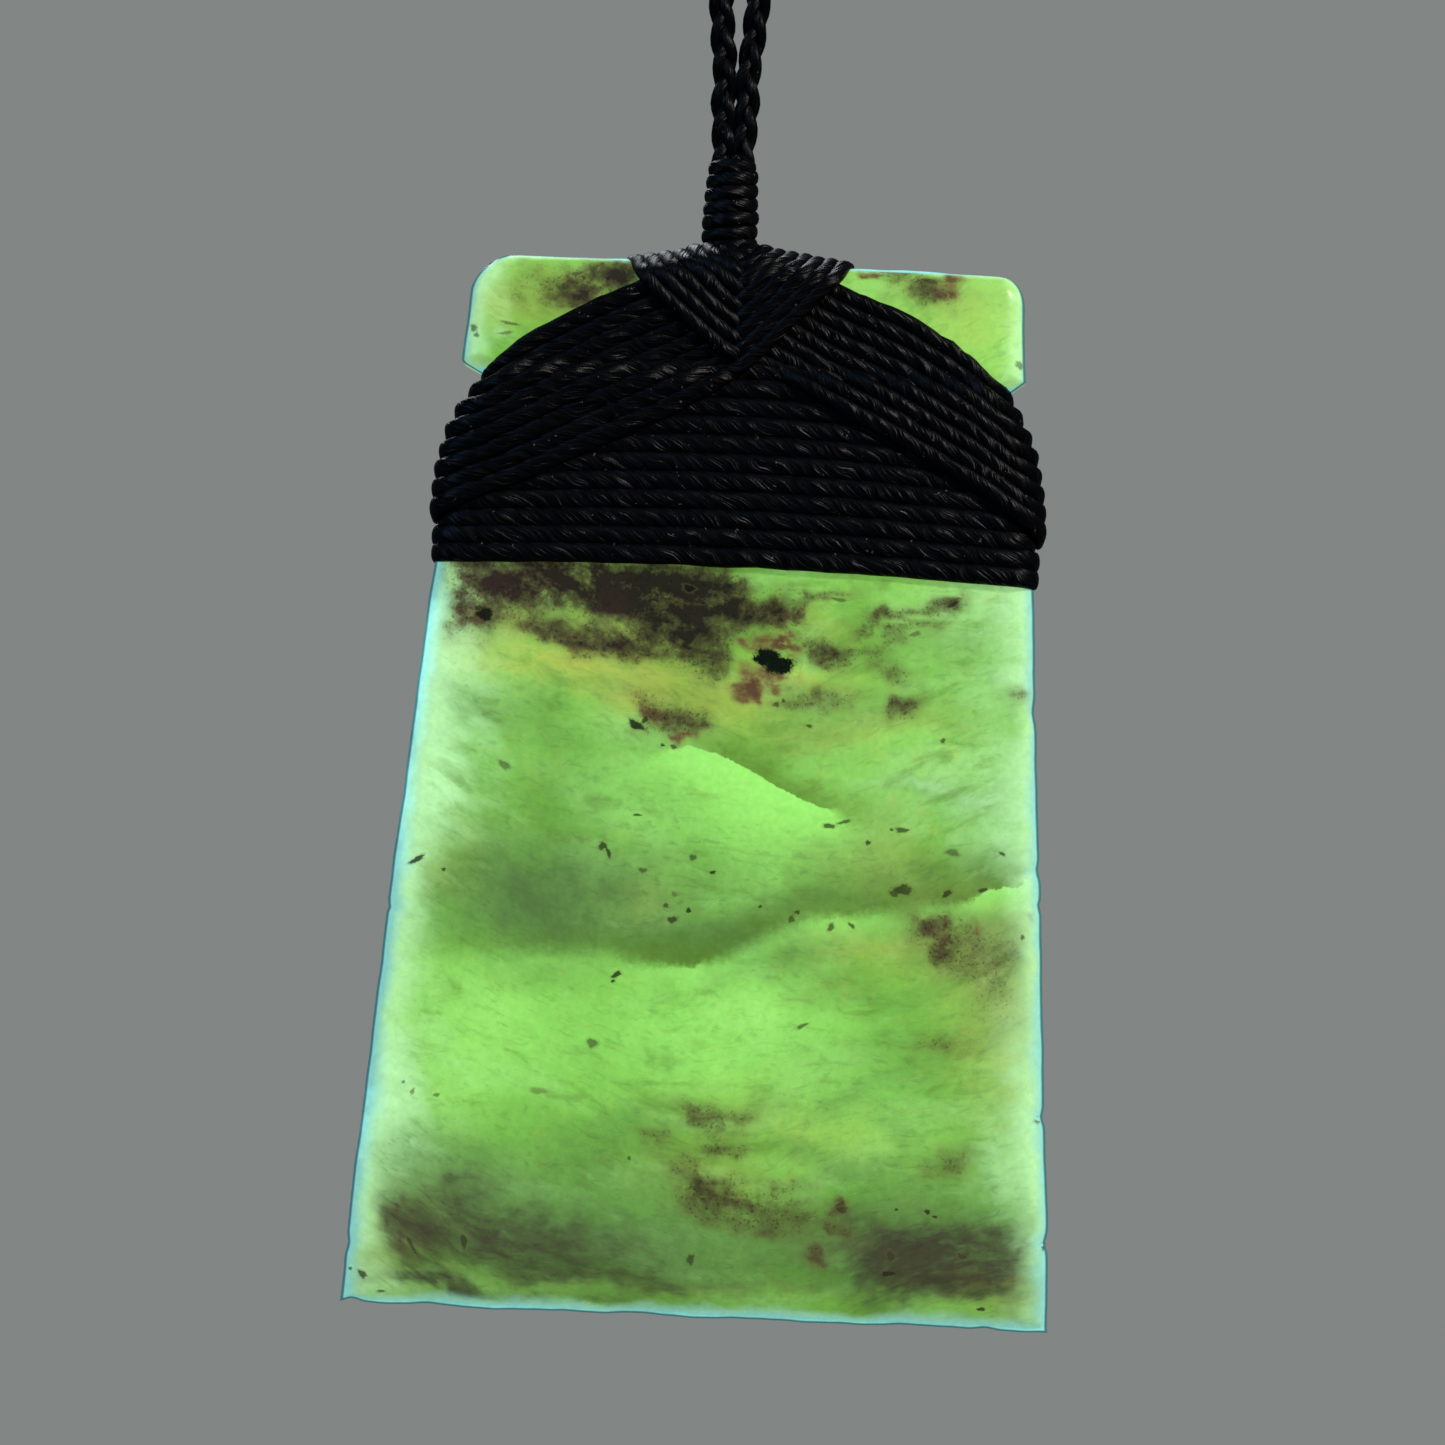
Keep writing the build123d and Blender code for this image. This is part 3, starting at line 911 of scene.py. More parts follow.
SMOKE = table(PATCH, [
    (590, 580, 130, 22, 3, 0.95),
    (665, 600, 66, 32, 8, 0.85),
    (500, 588, 44, 20, 10, 0.72),
    (474, 610, 18, 22, 0, 0.50),
    (540, 630, 50, 14, 8, 0.50),
    (592, 648, 44, 11, 8, 0.55),
    (655, 642, 54, 20, 0, 0.66),
    (702, 640, 26, 34, -10, 0.50),
    (712, 590, 30, 24, 0, 0.55),
    (752, 614, 30, 14, 25, 0.66),
    (778, 620, 22, 9, -15, 0.55),
    (730, 660, 16, 26, 15, 0.30),
    (813, 650, 18, 11, 10, 0.60),
    (823, 602, 34, 7, -12, 0.50),
    (881, 625, 36, 6, -14, 0.45),
    (945, 608, 20, 5, -22, 0.55),
    (917, 612, 22, 6, -18, 0.40),
    (917, 634, 26, 6, -18, 0.38),
    (860, 648, 50, 8, -8, 0.30),
    (897, 668, 26, 10, 10, 0.38),
    (815, 696, 46, 9, -4, 0.40),
    (904, 710, 18, 12, -30, 0.52),
    (1012, 698, 22, 10, 0, 0.45),
    (660, 708, 46, 18, 15, 0.36),
    (683, 722, 26, 10, 0, 0.50),
    (585, 288, 44, 24, -10, 0.70),
    (620, 275, 30, 16, 0, 0.60),
    (925, 292, 40, 12, 5, 0.55),
    (880, 275, 40, 8, 5, 0.35),
    (940, 936, 30, 24, 10, 0.30),
    (942, 945, 18, 20, 20, 0.45),
    (985, 955, 34, 26, 30, 0.30),
    (1000, 1010, 34, 40, 0, 0.22),
    (935, 1045, 36, 14, 0, 0.36),
    (830, 985, 40, 16, 0, 0.18),
    (699, 1112, 22, 12, 20, 0.44),
    (726, 1122, 22, 8, -30, 0.30),
    (660, 1133, 18, 9, 0, 0.34),
    (722, 1150, 20, 11, -15, 0.42),
    (690, 1166, 26, 7, 25, 0.26),
    (738, 1192, 52, 16, 8, 0.38),
    (790, 1180, 34, 8, -20, 0.28),
    (705, 1190, 26, 16, 0, 0.32),
    (756, 1222, 44, 9, 12, 0.28),
    (775, 1208, 34, 12, 10, 0.30),
    (812, 1258, 18, 13, 20, 0.45),
    (842, 1206, 11, 7, 0, 0.50),
    (845, 1230, 22, 8, 25, 0.45),
    (945, 1158, 22, 12, -20, 0.36),
])
DUSK = table(PATCH, [
    (435, 1228, 44, 46, 20, 0.60),
    (405, 1215, 16, 34, -10, 0.45),
    (505, 1225, 70, 38, 10, 0.62),
    (580, 1250, 100, 24, 4, 0.48),
    (450, 1178, 24, 12, -15, 0.40),
    (600, 1276, 130, 10, 3, 0.50),
    (520, 1292, 150, 7, 3, 0.45),
    (420, 1284, 40, 8, 3, 0.30),
    (430, 1280, 44, 9, 6, 0.42),
    (745, 1250, 120, 20, 2, 0.16),
    (760, 1284, 120, 7, 2, 0.25),
    (920, 1250, 84, 36, 0, 0.88),
    (940, 1284, 76, 13, 2, 0.62),
    (990, 1252, 40, 26, 0, 0.50),
    (880, 1222, 54, 20, 10, 0.45),
    (560, 893, 80, 46, 0, 0.20),
])
MAROON = table(PATCH, [
    (600, 580, 90, 16, 5, 0.30),
    (672, 606, 30, 12, 5, 0.45),
    (482, 576, 22, 10, 0, 0.50),
    (540, 574, 30, 8, 0, 0.40),
    (473, 612, 7, 13, 0, 0.80),
    (530, 631, 14, 8, 0, 0.40),
    (582, 648, 30, 8, 6, 0.35),
    (752, 612, 22, 8, 20, 0.45),
    (776, 622, 20, 6, -10, 0.50),
    (770, 643, 19, 6, -16, 1.0),
    (789, 652, 5, 11, -10, 0.85),
    (755, 691, 14, 8, 10, 1.0),
    (779, 682, 14, 5, 0, 0.70),
    (764, 675, 14, 8, 30, 0.40),
    (641, 700, 30, 10, 20, 0.30),
    (655, 715, 15, 7, -20, 0.90),
    (676, 736, 11, 4, 0, 0.75),
    (683, 722, 16, 8, 0, 0.40),
    (942, 937, 11, 12, 0, 0.55),
    (983, 935, 9, 6, 0, 0.65),
    (1017, 919, 8, 4, 0, 0.50),
    (985, 960, 14, 10, 0, 0.30),
    (706, 1112, 12, 7, 20, 0.35),
    (738, 1192, 16, 6, 0, 0.45),
    (812, 1258, 12, 9, 20, 0.45),
    (842, 1205, 8, 5, 0, 0.60),
    (402, 1208, 6, 16, 6, 0.60),
    (416, 1240, 6, 14, -28, 0.55),
    (425, 1225, 14, 22, 0, 0.30),
    (925, 1280, 38, 10, -4, 0.55),
    (960, 1268, 36, 10, 0, 0.45),
    (1003, 1270, 20, 12, 0, 0.40),
    (560, 1280, 70, 7, 4, 0.28),
    (955, 292, 16, 8, 0, 0.85),
    (862, 280, 9, 5, 0, 0.80),
])
BRIGHT = table(PATCH, [
    (745, 820, 90, 46, 18, 0.9),
    (650, 790, 60, 30, 10, 0.5),
    (690, 1040, 110, 60, 5, 0.7),
    (500, 1050, 90, 70, 0, 0.5),
    (780, 1000, 70, 36, 5, 0.6),
    (480, 1000, 60, 40, 0, 0.45),
    (795, 600, 20, 14, 0, 0.5),
    (1000, 330, 20, 40, 0, 0.4),
    (960, 330, 60, 30, 0, 0.5),
    (940, 680, 50, 26, 0, 0.3),
    (890, 740, 50, 10, -8, 0.5),
    (860, 1100, 80, 44, 10, 0.45),
])
YELLOW = table(PATCH, [
    (560, 668, 90, 16, 8, 0.85),
    (630, 672, 70, 18, 10, 0.85),
    (600, 690, 60, 12, 10, 0.5),
    (720, 700, 60, 30, 10, 0.75),
    (800, 680, 50, 18, 0, 0.5),
    (850, 730, 90, 16, -8, 0.45),
    (520, 620, 50, 20, 0, 0.6),
    (640, 640, 60, 20, 0, 0.5),
    (740, 611, 38, 3, 33, 0.9),
    (810, 625, 26, 12, 0, 0.3),
    (490, 300, 30, 26, 0, 0.35),
    (560, 300, 50, 26, 0, 0.5),
    (960, 320, 60, 40, 0, 0.45),
    (880, 860, 60, 30, 10, 0.45),
    (960, 930, 80, 40, 10, 0.65),
    (1000, 1040, 50, 70, 0, 0.50),
    (640, 905, 30, 20, 0, 0.4),
    (460, 870, 30, 30, 0, 0.3),
    (400, 1240, 40, 50, 0, 0.35),
    (700, 1285, 200, 10, 2, 0.15),
    (1000, 1285, 40, 20, 0, 0.6),
    (700, 1170, 60, 30, 0, 0.3),
    (850, 940, 70, 20, 0, 0.45),
    (800, 1120, 90, 30, 10, 0.30),
])
PALE = table(PATCH, [
    (440, 640, 34, 60, 8, 0.9),
    (432, 740, 50, 90, 8, 0.90),
    (410, 860, 26, 80, 6, 0.65),
    (1000, 600, 44, 30, 0, 0.45),
    (990, 660, 40, 60, 0, 0.25),
    (995, 780, 44, 50, 0, 0.45),
    (935, 789, 60, 5, 4, 0.55),
    (1010, 850, 30, 26, 0, 0.55),
    (385, 1100, 40, 90, 8, 0.75),
    (375, 1210, 26, 60, 6, 0.6),
    (1010, 930, 36, 60, 0, 0.45),
    (1020, 1130, 36, 110, 0, 0.6),
    (370, 1280, 50, 20, 0, 0.6),
    (480, 320, 18, 50, 0, 0.55),
    (1012, 350, 14, 46, 0, 0.4),
])
SPECKS = table("u,v,wide,high,turn,dark", [
    (769, 656, 11, 9, 0, 1.0),
    (775, 664, 15, 11, 10, 1.0),
    (783, 668, 9, 8, 0, 1.0),
    (761, 660, 9, 6, 0, 1.0),
    (487, 616, 9, 7, 30, 0.95),
    (480, 608, 4, 3, 0, 0.7),
    (690, 589, 7, 3.5, 8, 0.95),
    (636, 725, 9, 4, 20, 0.9),
    (646, 720, 4, 3, -50, 0.8),
    (506, 765, 6, 4, 30, 0.45),
    (604, 845, 4.5, 4, 0, 0.75),
    (609, 851, 2, 6, -30, 0.75),
    (420, 858, 9, 2.6, -28, 0.85),
    (446, 868, 2, 2, 0, 0.7),
    (638, 814, 4, 1.5, 0, 0.75),
    (693, 856, 3.5, 3.5, 0, 0.6),
    (713, 871, 3, 2, 0, 0.85),
    (643, 869, 4, 2.5, 0, 0.55),
    (689, 909, 3, 2.5, -40, 0.85),
    (672, 918, 5, 3.5, 0, 0.70),
    (666, 904, 2.5, 2.5, 0, 0.65),
    (675, 893, 3, 2.5, 0, 0.35),
    (901, 889, 9, 6, 0, 0.70),
    (893, 893, 5, 4, 0, 0.60),
    (830, 926, 3, 4.5, 40, 0.65),
    (851, 924, 3.5, 2, 30, 0.70),
    (797, 911, 3, 2, 0, 0.65),
    (791, 918, 4, 3, -40, 0.60),
    (760, 905, 2, 1.6, 0, 0.70),
    (801, 1024, 6, 2, -25, 0.60),
    (618, 972, 5, 3, -30, 0.85),
    (614, 979, 2, 1.5, 0, 0.85),
    (539, 1088, 8, 3, 5, 0.25),
    (593, 1040, 6, 4.5, 0, 0.55),
    (842, 1206, 6, 4, 20, 0.45),
    (364, 1272, 5, 3.5, 30, 0.75),
    (352, 1266, 1.8, 1.8, 0, 0.75),
    (382, 1290, 4, 1.5, 0, 0.60),
    (980, 1307, 4.5, 2, 0, 0.80),
    (1037, 1116, 4, 5, 30, 0.60),
    (1041, 1243, 2.5, 4, 0, 0.60),
    (950, 851, 6, 4, 0, 0.45),
    (1000, 853, 4, 1.5, 30, 0.70),
    (981, 889, 5, 2.2, -20, 0.65),
    (945, 892, 5, 3.5, -30, 0.70),
    (867, 842, 2.5, 2.5, 0, 0.75),
    (828, 825, 6, 2.5, 0, 0.75),
    (843, 821, 8, 1.6, -15, 0.65),
    (901, 829, 7, 2.6, -5, 0.70),
    (890, 829, 2, 1.5, 0, 0.70),
    (941, 741, 2.5, 2.5, 45, 0.65),
    (809, 726, 3, 1.8, 0, 0.65),
    (776, 705, 3, 2.5, 0, 0.55),
    (783, 701, 2, 2, 0, 0.55),
    (663, 745, 2.5, 1.5, 0, 0.80),
    (674, 747, 3, 2.5, 0, 0.70),
    (950, 606, 7, 2.5, -30, 0.75),
    (913, 635, 5, 2.5, -20, 0.40),
    (838, 601, 7, 2, 5, 0.50),
    (1020, 936, 1.8, 3, 0, 0.60),
    (475, 330, 3, 4, 0, 0.60),
    (478, 338, 3, 2, 0, 0.60),
    (1018, 368, 4, 4, 0, 0.50),
    (578, 277, 7, 2, -15, 0.50),
    (928, 284, 10, 2.2, 8, 0.50),
    (510, 326, 8, 1.8, 10, 0.50),
    (507, 336, 7, 1.6, -10, 0.40),
    (691, 1256, 3.5, 6, 10, 0.60),
    (926, 1208, 3, 2.5, 0, 0.80),
    (933, 1213, 2.5, 1.5, 0, 0.75),
    (895, 1206, 1.8, 1.5, 0, 0.75),
    (886, 1270, 7, 3, 0, 0.65),
    (890, 1252, 5, 5, 0, 0.40),
    (960, 1252, 5, 3, 20, 0.40),
    (415, 1088, 2, 3, 20, 0.45),
    (439, 1092, 3, 2, 0, 0.50),
    (406, 1079, 1.6, 1.6, 0, 0.50),
    (630, 1155, 1.8, 2.2, 0, 0.55),
    (466, 1237, 3, 9, -12, 0.55),
    (414, 1242, 2, 10, -28, 0.50),
])
# The two veils: thin flaws where the stone turns from dark above to bright below. Dark and bright say how
# much.
VEILS = {
    "upper_veil": table("u,v,dark,bright", [
        (560, 735, 0.0, 0.0),
        (630, 758, 0.1, 0.35),
        (690, 745, 0.4, 0.8),
        (725, 757, 0.8, 1.0),
        (756, 774, 1.0, 1.0),
        (775, 785, 1.0, 1.0),
        (800, 798, 1.0, 1.0),
        (825, 808, 0.9, 0.8),
        (850, 817, 0.7, 0.3),
        (900, 828, 0.3, 0.0),
    ]),
    "lower_veil": table("u,v,dark,bright", [
        (385, 958, 0.1, 0.2),
        (470, 952, 0.35, 0.35),
        (545, 948, 0.5, 0.45),
        (600, 952, 0.6, 0.40),
        (650, 962, 0.9, 0.6),
        (692, 966, 1.0, 0.7),
        (725, 955, 0.9, 0.5),
        (764, 935, 0.8, 0.45),
        (787, 922, 0.7, 0.45),
        (823, 913, 0.7, 0.60),
        (865, 913, 0.6, 0.60),
        (905, 912, 0.6, 0.40),
        (930, 903, 0.7, 0.55),
        (955, 905, 0.7, 0.60),
        (985, 890, 0.9, 0.75),
        (1018, 884, 0.9, 0.80),
        (1034, 870, 0.9, 0.70),
    ]),
}
# How far each veil darkens the stone above it and lights it below it, in millimetres, how dark it gets and
# how ragged it is
VEIL_LOOKS = table("name,fade,glow,depth,rough", [
    ("upper_veil", 2.2, 3.5, 0.66, 0.40),
    ("lower_veil", 2.8, 2.2, 0.66, 0.75),
])
# How wide the painted icy light along each edge is, in millimetres: its band and the painted haze of mint
# light inside it, at the head's end of a side and at its foot, or at the left and at the right end of the
# foot and of the head
EDGE_GLOW = table("edge,band_first,band_last,haze_first,haze_last", [
    ("left", 1.05, 1.15, 3.8, 2.8),
    ("right", 0.60, 1.00, 2.4, 3.0),
    ("foot", 0.80, 0.90, 0.9, 1.0),
    ("head", 0.10, 0.10, 0.3, 0.3),
])
# How wide the painted dark rim is, a painted shade on the rounded-off outline, in millimetres
RIM_SHADE_WIDTH = 0.2


def warped(x, z, size, seed):
    """The same places shifted about by soft irregular waves, so that no patch keeps a smooth outline."""
    rng = np.random.default_rng(seed)
    dx = np.zeros_like(x)
    dz = np.zeros_like(z)
    for wave, share in ((9.0, 1.0), (4.1, 0.65), (2.3, 0.5), (1.4, 0.35), (0.9, 0.2)):
        a, b, c, d = rng.uniform(0, 2 * math.pi, 4)
        turn = rng.uniform(0, math.pi)
        along = (x * math.cos(turn) + z * math.sin(turn)) * 2 * math.pi / wave
        across = (z * math.cos(turn) - x * math.sin(turn)) * 2 * math.pi / wave
        dx += size * share * np.sin(across + a + 0.8 * np.sin(along + b))
        dz += 0.6 * size * share * np.sin(along + c + 0.8 * np.sin(across + d))
    return x + dx, z + dz


def oval_place(oval, x, z):
    """Places relative to an oval, in shares of its half width and half height."""
    middle_x, middle_z = from_photo(oval.u, oval.v)
    turn = math.radians(oval.turn)
    right = x - middle_x
    down = middle_z - z
    across = (right * math.cos(turn) + down * math.sin(turn)) / (oval.wide * PHOTO_MM)
    below = (down * math.cos(turn) - right * math.sin(turn)) / (oval.high * PHOTO_MM)
    return across, below


def oval_field(patches, x, z):
    """How much of any of the patches lies at each place, softly."""
    total = np.zeros_like(x)
    for patch in patches:
        across, below = oval_place(patch, x, z)
        amount = patch.strength * np.exp(-0.75 * (across * across + below * below) ** 1.15)
        total = 1 - (1 - total) * (1 - np.clip(amount, 0, 1))
    return total


def edge_light_fields(x, z):
    """How much of the painted icy light band, of the painted mint haze of light and of the painted dark rim
    shade of all edges lies at each place.
    """
    heights = np.linspace(0, -BLADE_LENGTH, 400)
    distances = {"foot": z - foot_line(x), "head": -z}
    for side, edge in SIDES.items():
        distances[edge] = np.interp(-z, -heights, outline_x(side, heights)) - side * x
    bite = np.maximum(notch_bite(-1, z) * (x < 0), notch_bite(1, z) * (x > 0))
    # Painted icy light on the notches' facets
    lit = smooth(0.1, 0.7, bite) * smooth(2.2, 1.2, np.abs(z + 7.2)) * smooth(13.0, 14.2, np.abs(x))
    band = 2.0 * lit - 1
    edge_haze_glow = band - 1
    for index, row in enumerate(EDGE_GLOW):
        uneven = 1 + ripple(z if row.edge in SIDES.values() else x, 51 + index, 0.16, 13.0)
        if row.edge in SIDES.values():
            uneven = uneven * (1 - 0.5 * smooth(-10.0, -6.5, z))
            share = -z / BLADE_LENGTH
        else:
            share = 0.5 + x / sum(FOOT_REACH.values())
        distance = np.maximum(distances[row.edge], 0.0)
        band = np.maximum(band, 1 - distance / (blend(row.band_first, row.band_last, share) * uneven))
        edge_haze_glow = np.maximum(edge_haze_glow, 1 - distance / (blend(row.haze_first, row.haze_last, share) * uneven))
    # The painted dark rim: painted shade along the sides and the foot
    nearest = np.minimum.reduce([distances["left"], distances["right"], 1.5 * distances["foot"]])
    return band, edge_haze_glow, 1 - np.maximum(nearest, 0.0) / RIM_SHADE_WIDTH


def stone_fields(x, z):
    """What the stone's material mixes, at each place of its faces."""
    soft = warped(x, z, 0.45, 41)
    rough = warped(x, z, 0.50, 43)
    fields = {
        "shade": oval_field(SHADE, *soft),
        "smoke": oval_field(SMOKE, *rough),
        "dusk": oval_field(DUSK, *soft),
        "maroon": oval_field(MAROON, *rough),
        "bright": oval_field(BRIGHT, *soft),
        "yellow": oval_field(YELLOW, *soft),
        "pale": oval_field(PALE, *soft),
    }
    for name, veil in VEILS.items():
        veil_x, veil_z = from_photo(veil.u, veil.v)
        fields[name] = np.interp(x, veil_x, veil_z) - z
        for level in ("dark", "bright"):
            fields[name + "_" + level] = np.interp(x, veil_x, veil[level], 0.0, 0.0)
    fields["edge_glow"], fields["edge_haze_glow"], fields["rim"] = edge_light_fields(x, z)
    fields["flow"] = z + 0.05 * x - 0.0110 * x * x + 0.5 * np.sin(0.35 * x + 0.22 * z)
    return fields


# Materials

class Value:
    """A value that a shader's nodes work out."""

    def __init__(self, make, socket):
        self.make = make
        self.socket = socket

    def __add__(self, other):
        return self.make.math("ADD", self, other)

    def __mul__(self, other):
        return self.make.math("MULTIPLY", self, other)

    def capped(self, other):
        """The product of the two, held between 0 and 1."""
        return self.make.math("MULTIPLY", self, other, True)

    def soft(self, low, high, to_low=0.0, to_high=1.0):
        """A soft step from one level to another, as the value goes from low to high."""
        return self.make.range("SMOOTHSTEP", self, low, high, to_low, to_high)

    def even(self, low, high, to_low, to_high):
        """A straight ramp from one level to another."""
        return self.make.range("LINEAR", self, low, high, to_low, to_high)

    def sway(self, most):
        """A pattern's rise and fall about its middle, by the given amount at most."""
        return self.even(0.3, 0.7, -most, most)


class Nodes:
    """Short ways to make and join shader nodes."""

    def __init__(self, name):
        self.material = bpy.data.materials.new(name)
        self.material.use_nodes = True
        self.material.cycles.emission_sampling = "NONE"
        self.tree = self.material.node_tree
        self.tree.nodes.clear()
        self.shader = self.tree.nodes.new("ShaderNodeBsdfPrincipled")
        output = self.tree.nodes.new("ShaderNodeOutputMaterial")
        self.tree.links.new(self.shader.outputs[0], output.inputs[0])

    def node(self, kind, output, inputs, **settings):
        """One output of a new node, as a value."""
        made = self.tree.nodes.new(kind)
        for key, value in settings.items():
            setattr(made, key, value)
        self.put(made, inputs)
        return Value(self, made.outputs[output])

    def put(self, node, inputs):
        """Joins values to a node's inputs, and sets numbers and colours on them."""
        for key, value in inputs.items():
            socket = node.inputs[key]
            if isinstance(value, Value):
                self.tree.links.new(value.socket, socket)
            else:
                socket.default_value = (*value, 1.0) if isinstance(value, tuple) else value

    def finish(self, inputs):
        self.put(self.shader, inputs)
        return self.material

    def math(self, operation, a, b=0.0, clamp=False):
        return self.node("ShaderNodeMath", 0, {0: a, 1: b}, operation=operation, use_clamp=clamp)

    def range(self, kind, *entries):
        return self.node("ShaderNodeMapRange", 0, dict(enumerate(entries)), interpolation_type=kind)

    def tint(self, colour, layers):
        """A colour under others, each given by how much of it shows and by its own colour."""
        for amount, over in layers:
            colour = self.node("ShaderNodeMix", 2, {0: amount, 6: colour, 7: over}, data_type="RGBA")
        return colour

    def scaled(self, vector, amount):
        return self.node("ShaderNodeVectorMath", 0, {0: vector, "Scale": amount}, operation="SCALE")

    def split(self, vector):
        """The first two parts of a vector."""
        first = self.node("ShaderNodeSeparateXYZ", 0, {0: vector})
        return first, Value(self, first.socket.node.outputs[1])

    def join(self, x, y, z=0.0):
        return self.node("ShaderNodeCombineXYZ", 0, {0: x, 1: y, 2: z})

    def place(self):
        """The place on the object, in millimetres."""
        return self.scaled(self.node("ShaderNodeTexCoord", "Object", {}), 1 / MM)

    def field(self, name):
        return self.node("ShaderNodeAttribute", "Fac", {}, attribute_name=name)

    def noise(self, place, scale, detail=3.0, rough=0.55, warp=0.0):
        inputs = {"Vector": place, "Scale": scale, "Detail": detail, "Roughness": rough, "Distortion": warp}
        return self.node("ShaderNodeTexNoise", "Fac", inputs)

    def bump(self, height, distance, strength):
        inputs = {"Height": height, "Distance": distance, "Strength": strength}
        return self.node("ShaderNodeBump", 0, inputs)


def linear(red, green, blue):
    """A colour given as it shows on a screen, 0 to 255, as the renderer needs it."""
    values = []
    for channel in (red, green, blue):
        c = channel / 255
        values.append(c / 12.92 if c <= 0.04045 else ((c + 0.055) / 1.055) ** 2.4)
    return tuple(values)


BASE_GREEN = linear(140, 206, 92)
DEEP_GREEN = linear(118, 184, 70)
PALE_GREEN = linear(166, 226, 132)
BRIGHT_GREEN = linear(162, 246, 114)
PALE_MINT = linear(196, 254, 182)
YELLOW_GREEN = linear(176, 192, 82)
SHADE_GREEN = linear(84, 122, 64)
OLIVE_GREEN = linear(80, 112, 30)
SMOKE_GREEN = linear(98, 92, 54)
DUSK_GREY = linear(74, 82, 56)
DUSK_BROWN = linear(58, 46, 38)
SMOKE_BROWN = linear(30, 26, 22)
SMOKE_RED = linear(46, 32, 32)
MAROON_BROWN = linear(80, 42, 38)
RUST = linear(122, 78, 58)
BLACK_SPECK = linear(14, 22, 14)
# Painted light along the edges
EDGE_GLOW_WHITE = linear(146, 216, 196)
EDGE_GLOW_BLUE = linear(142, 226, 224)
# Painted shade on the rounded-off rim
RIM_SHADE_TEAL = linear(40, 84, 90)

# The patterns in the stone: whether they follow its flow, how many there are to a millimetre, and their
# detail, roughness and warp
STONE_PATTERNS = table("name,flows,scale,detail,rough,warp", [
    ("clouds", False, 0.13, 2.0, 0.50, 0.0),
    ("drift", True, 0.30, 3.0, 0.50, 0.4),
    ("wisps", True, 0.80, 5.0, 0.55, 0.6),
    ("mottle", False, 0.75, 5.0, 0.60, 0.0),
    ("flecks", False, 2.6, 4.0, 0.65, 0.0),
    ("pepper", False, 5.5, 2.0, 0.60, 0.0),
    ("grain", False, 7.0, 2.0, 0.60, 0.0),
    ("fine", False, 1.7, 4.0, 0.60, 0.0),
    ("threads", True, 2.4, 3.0, 0.60, 0.7),
])


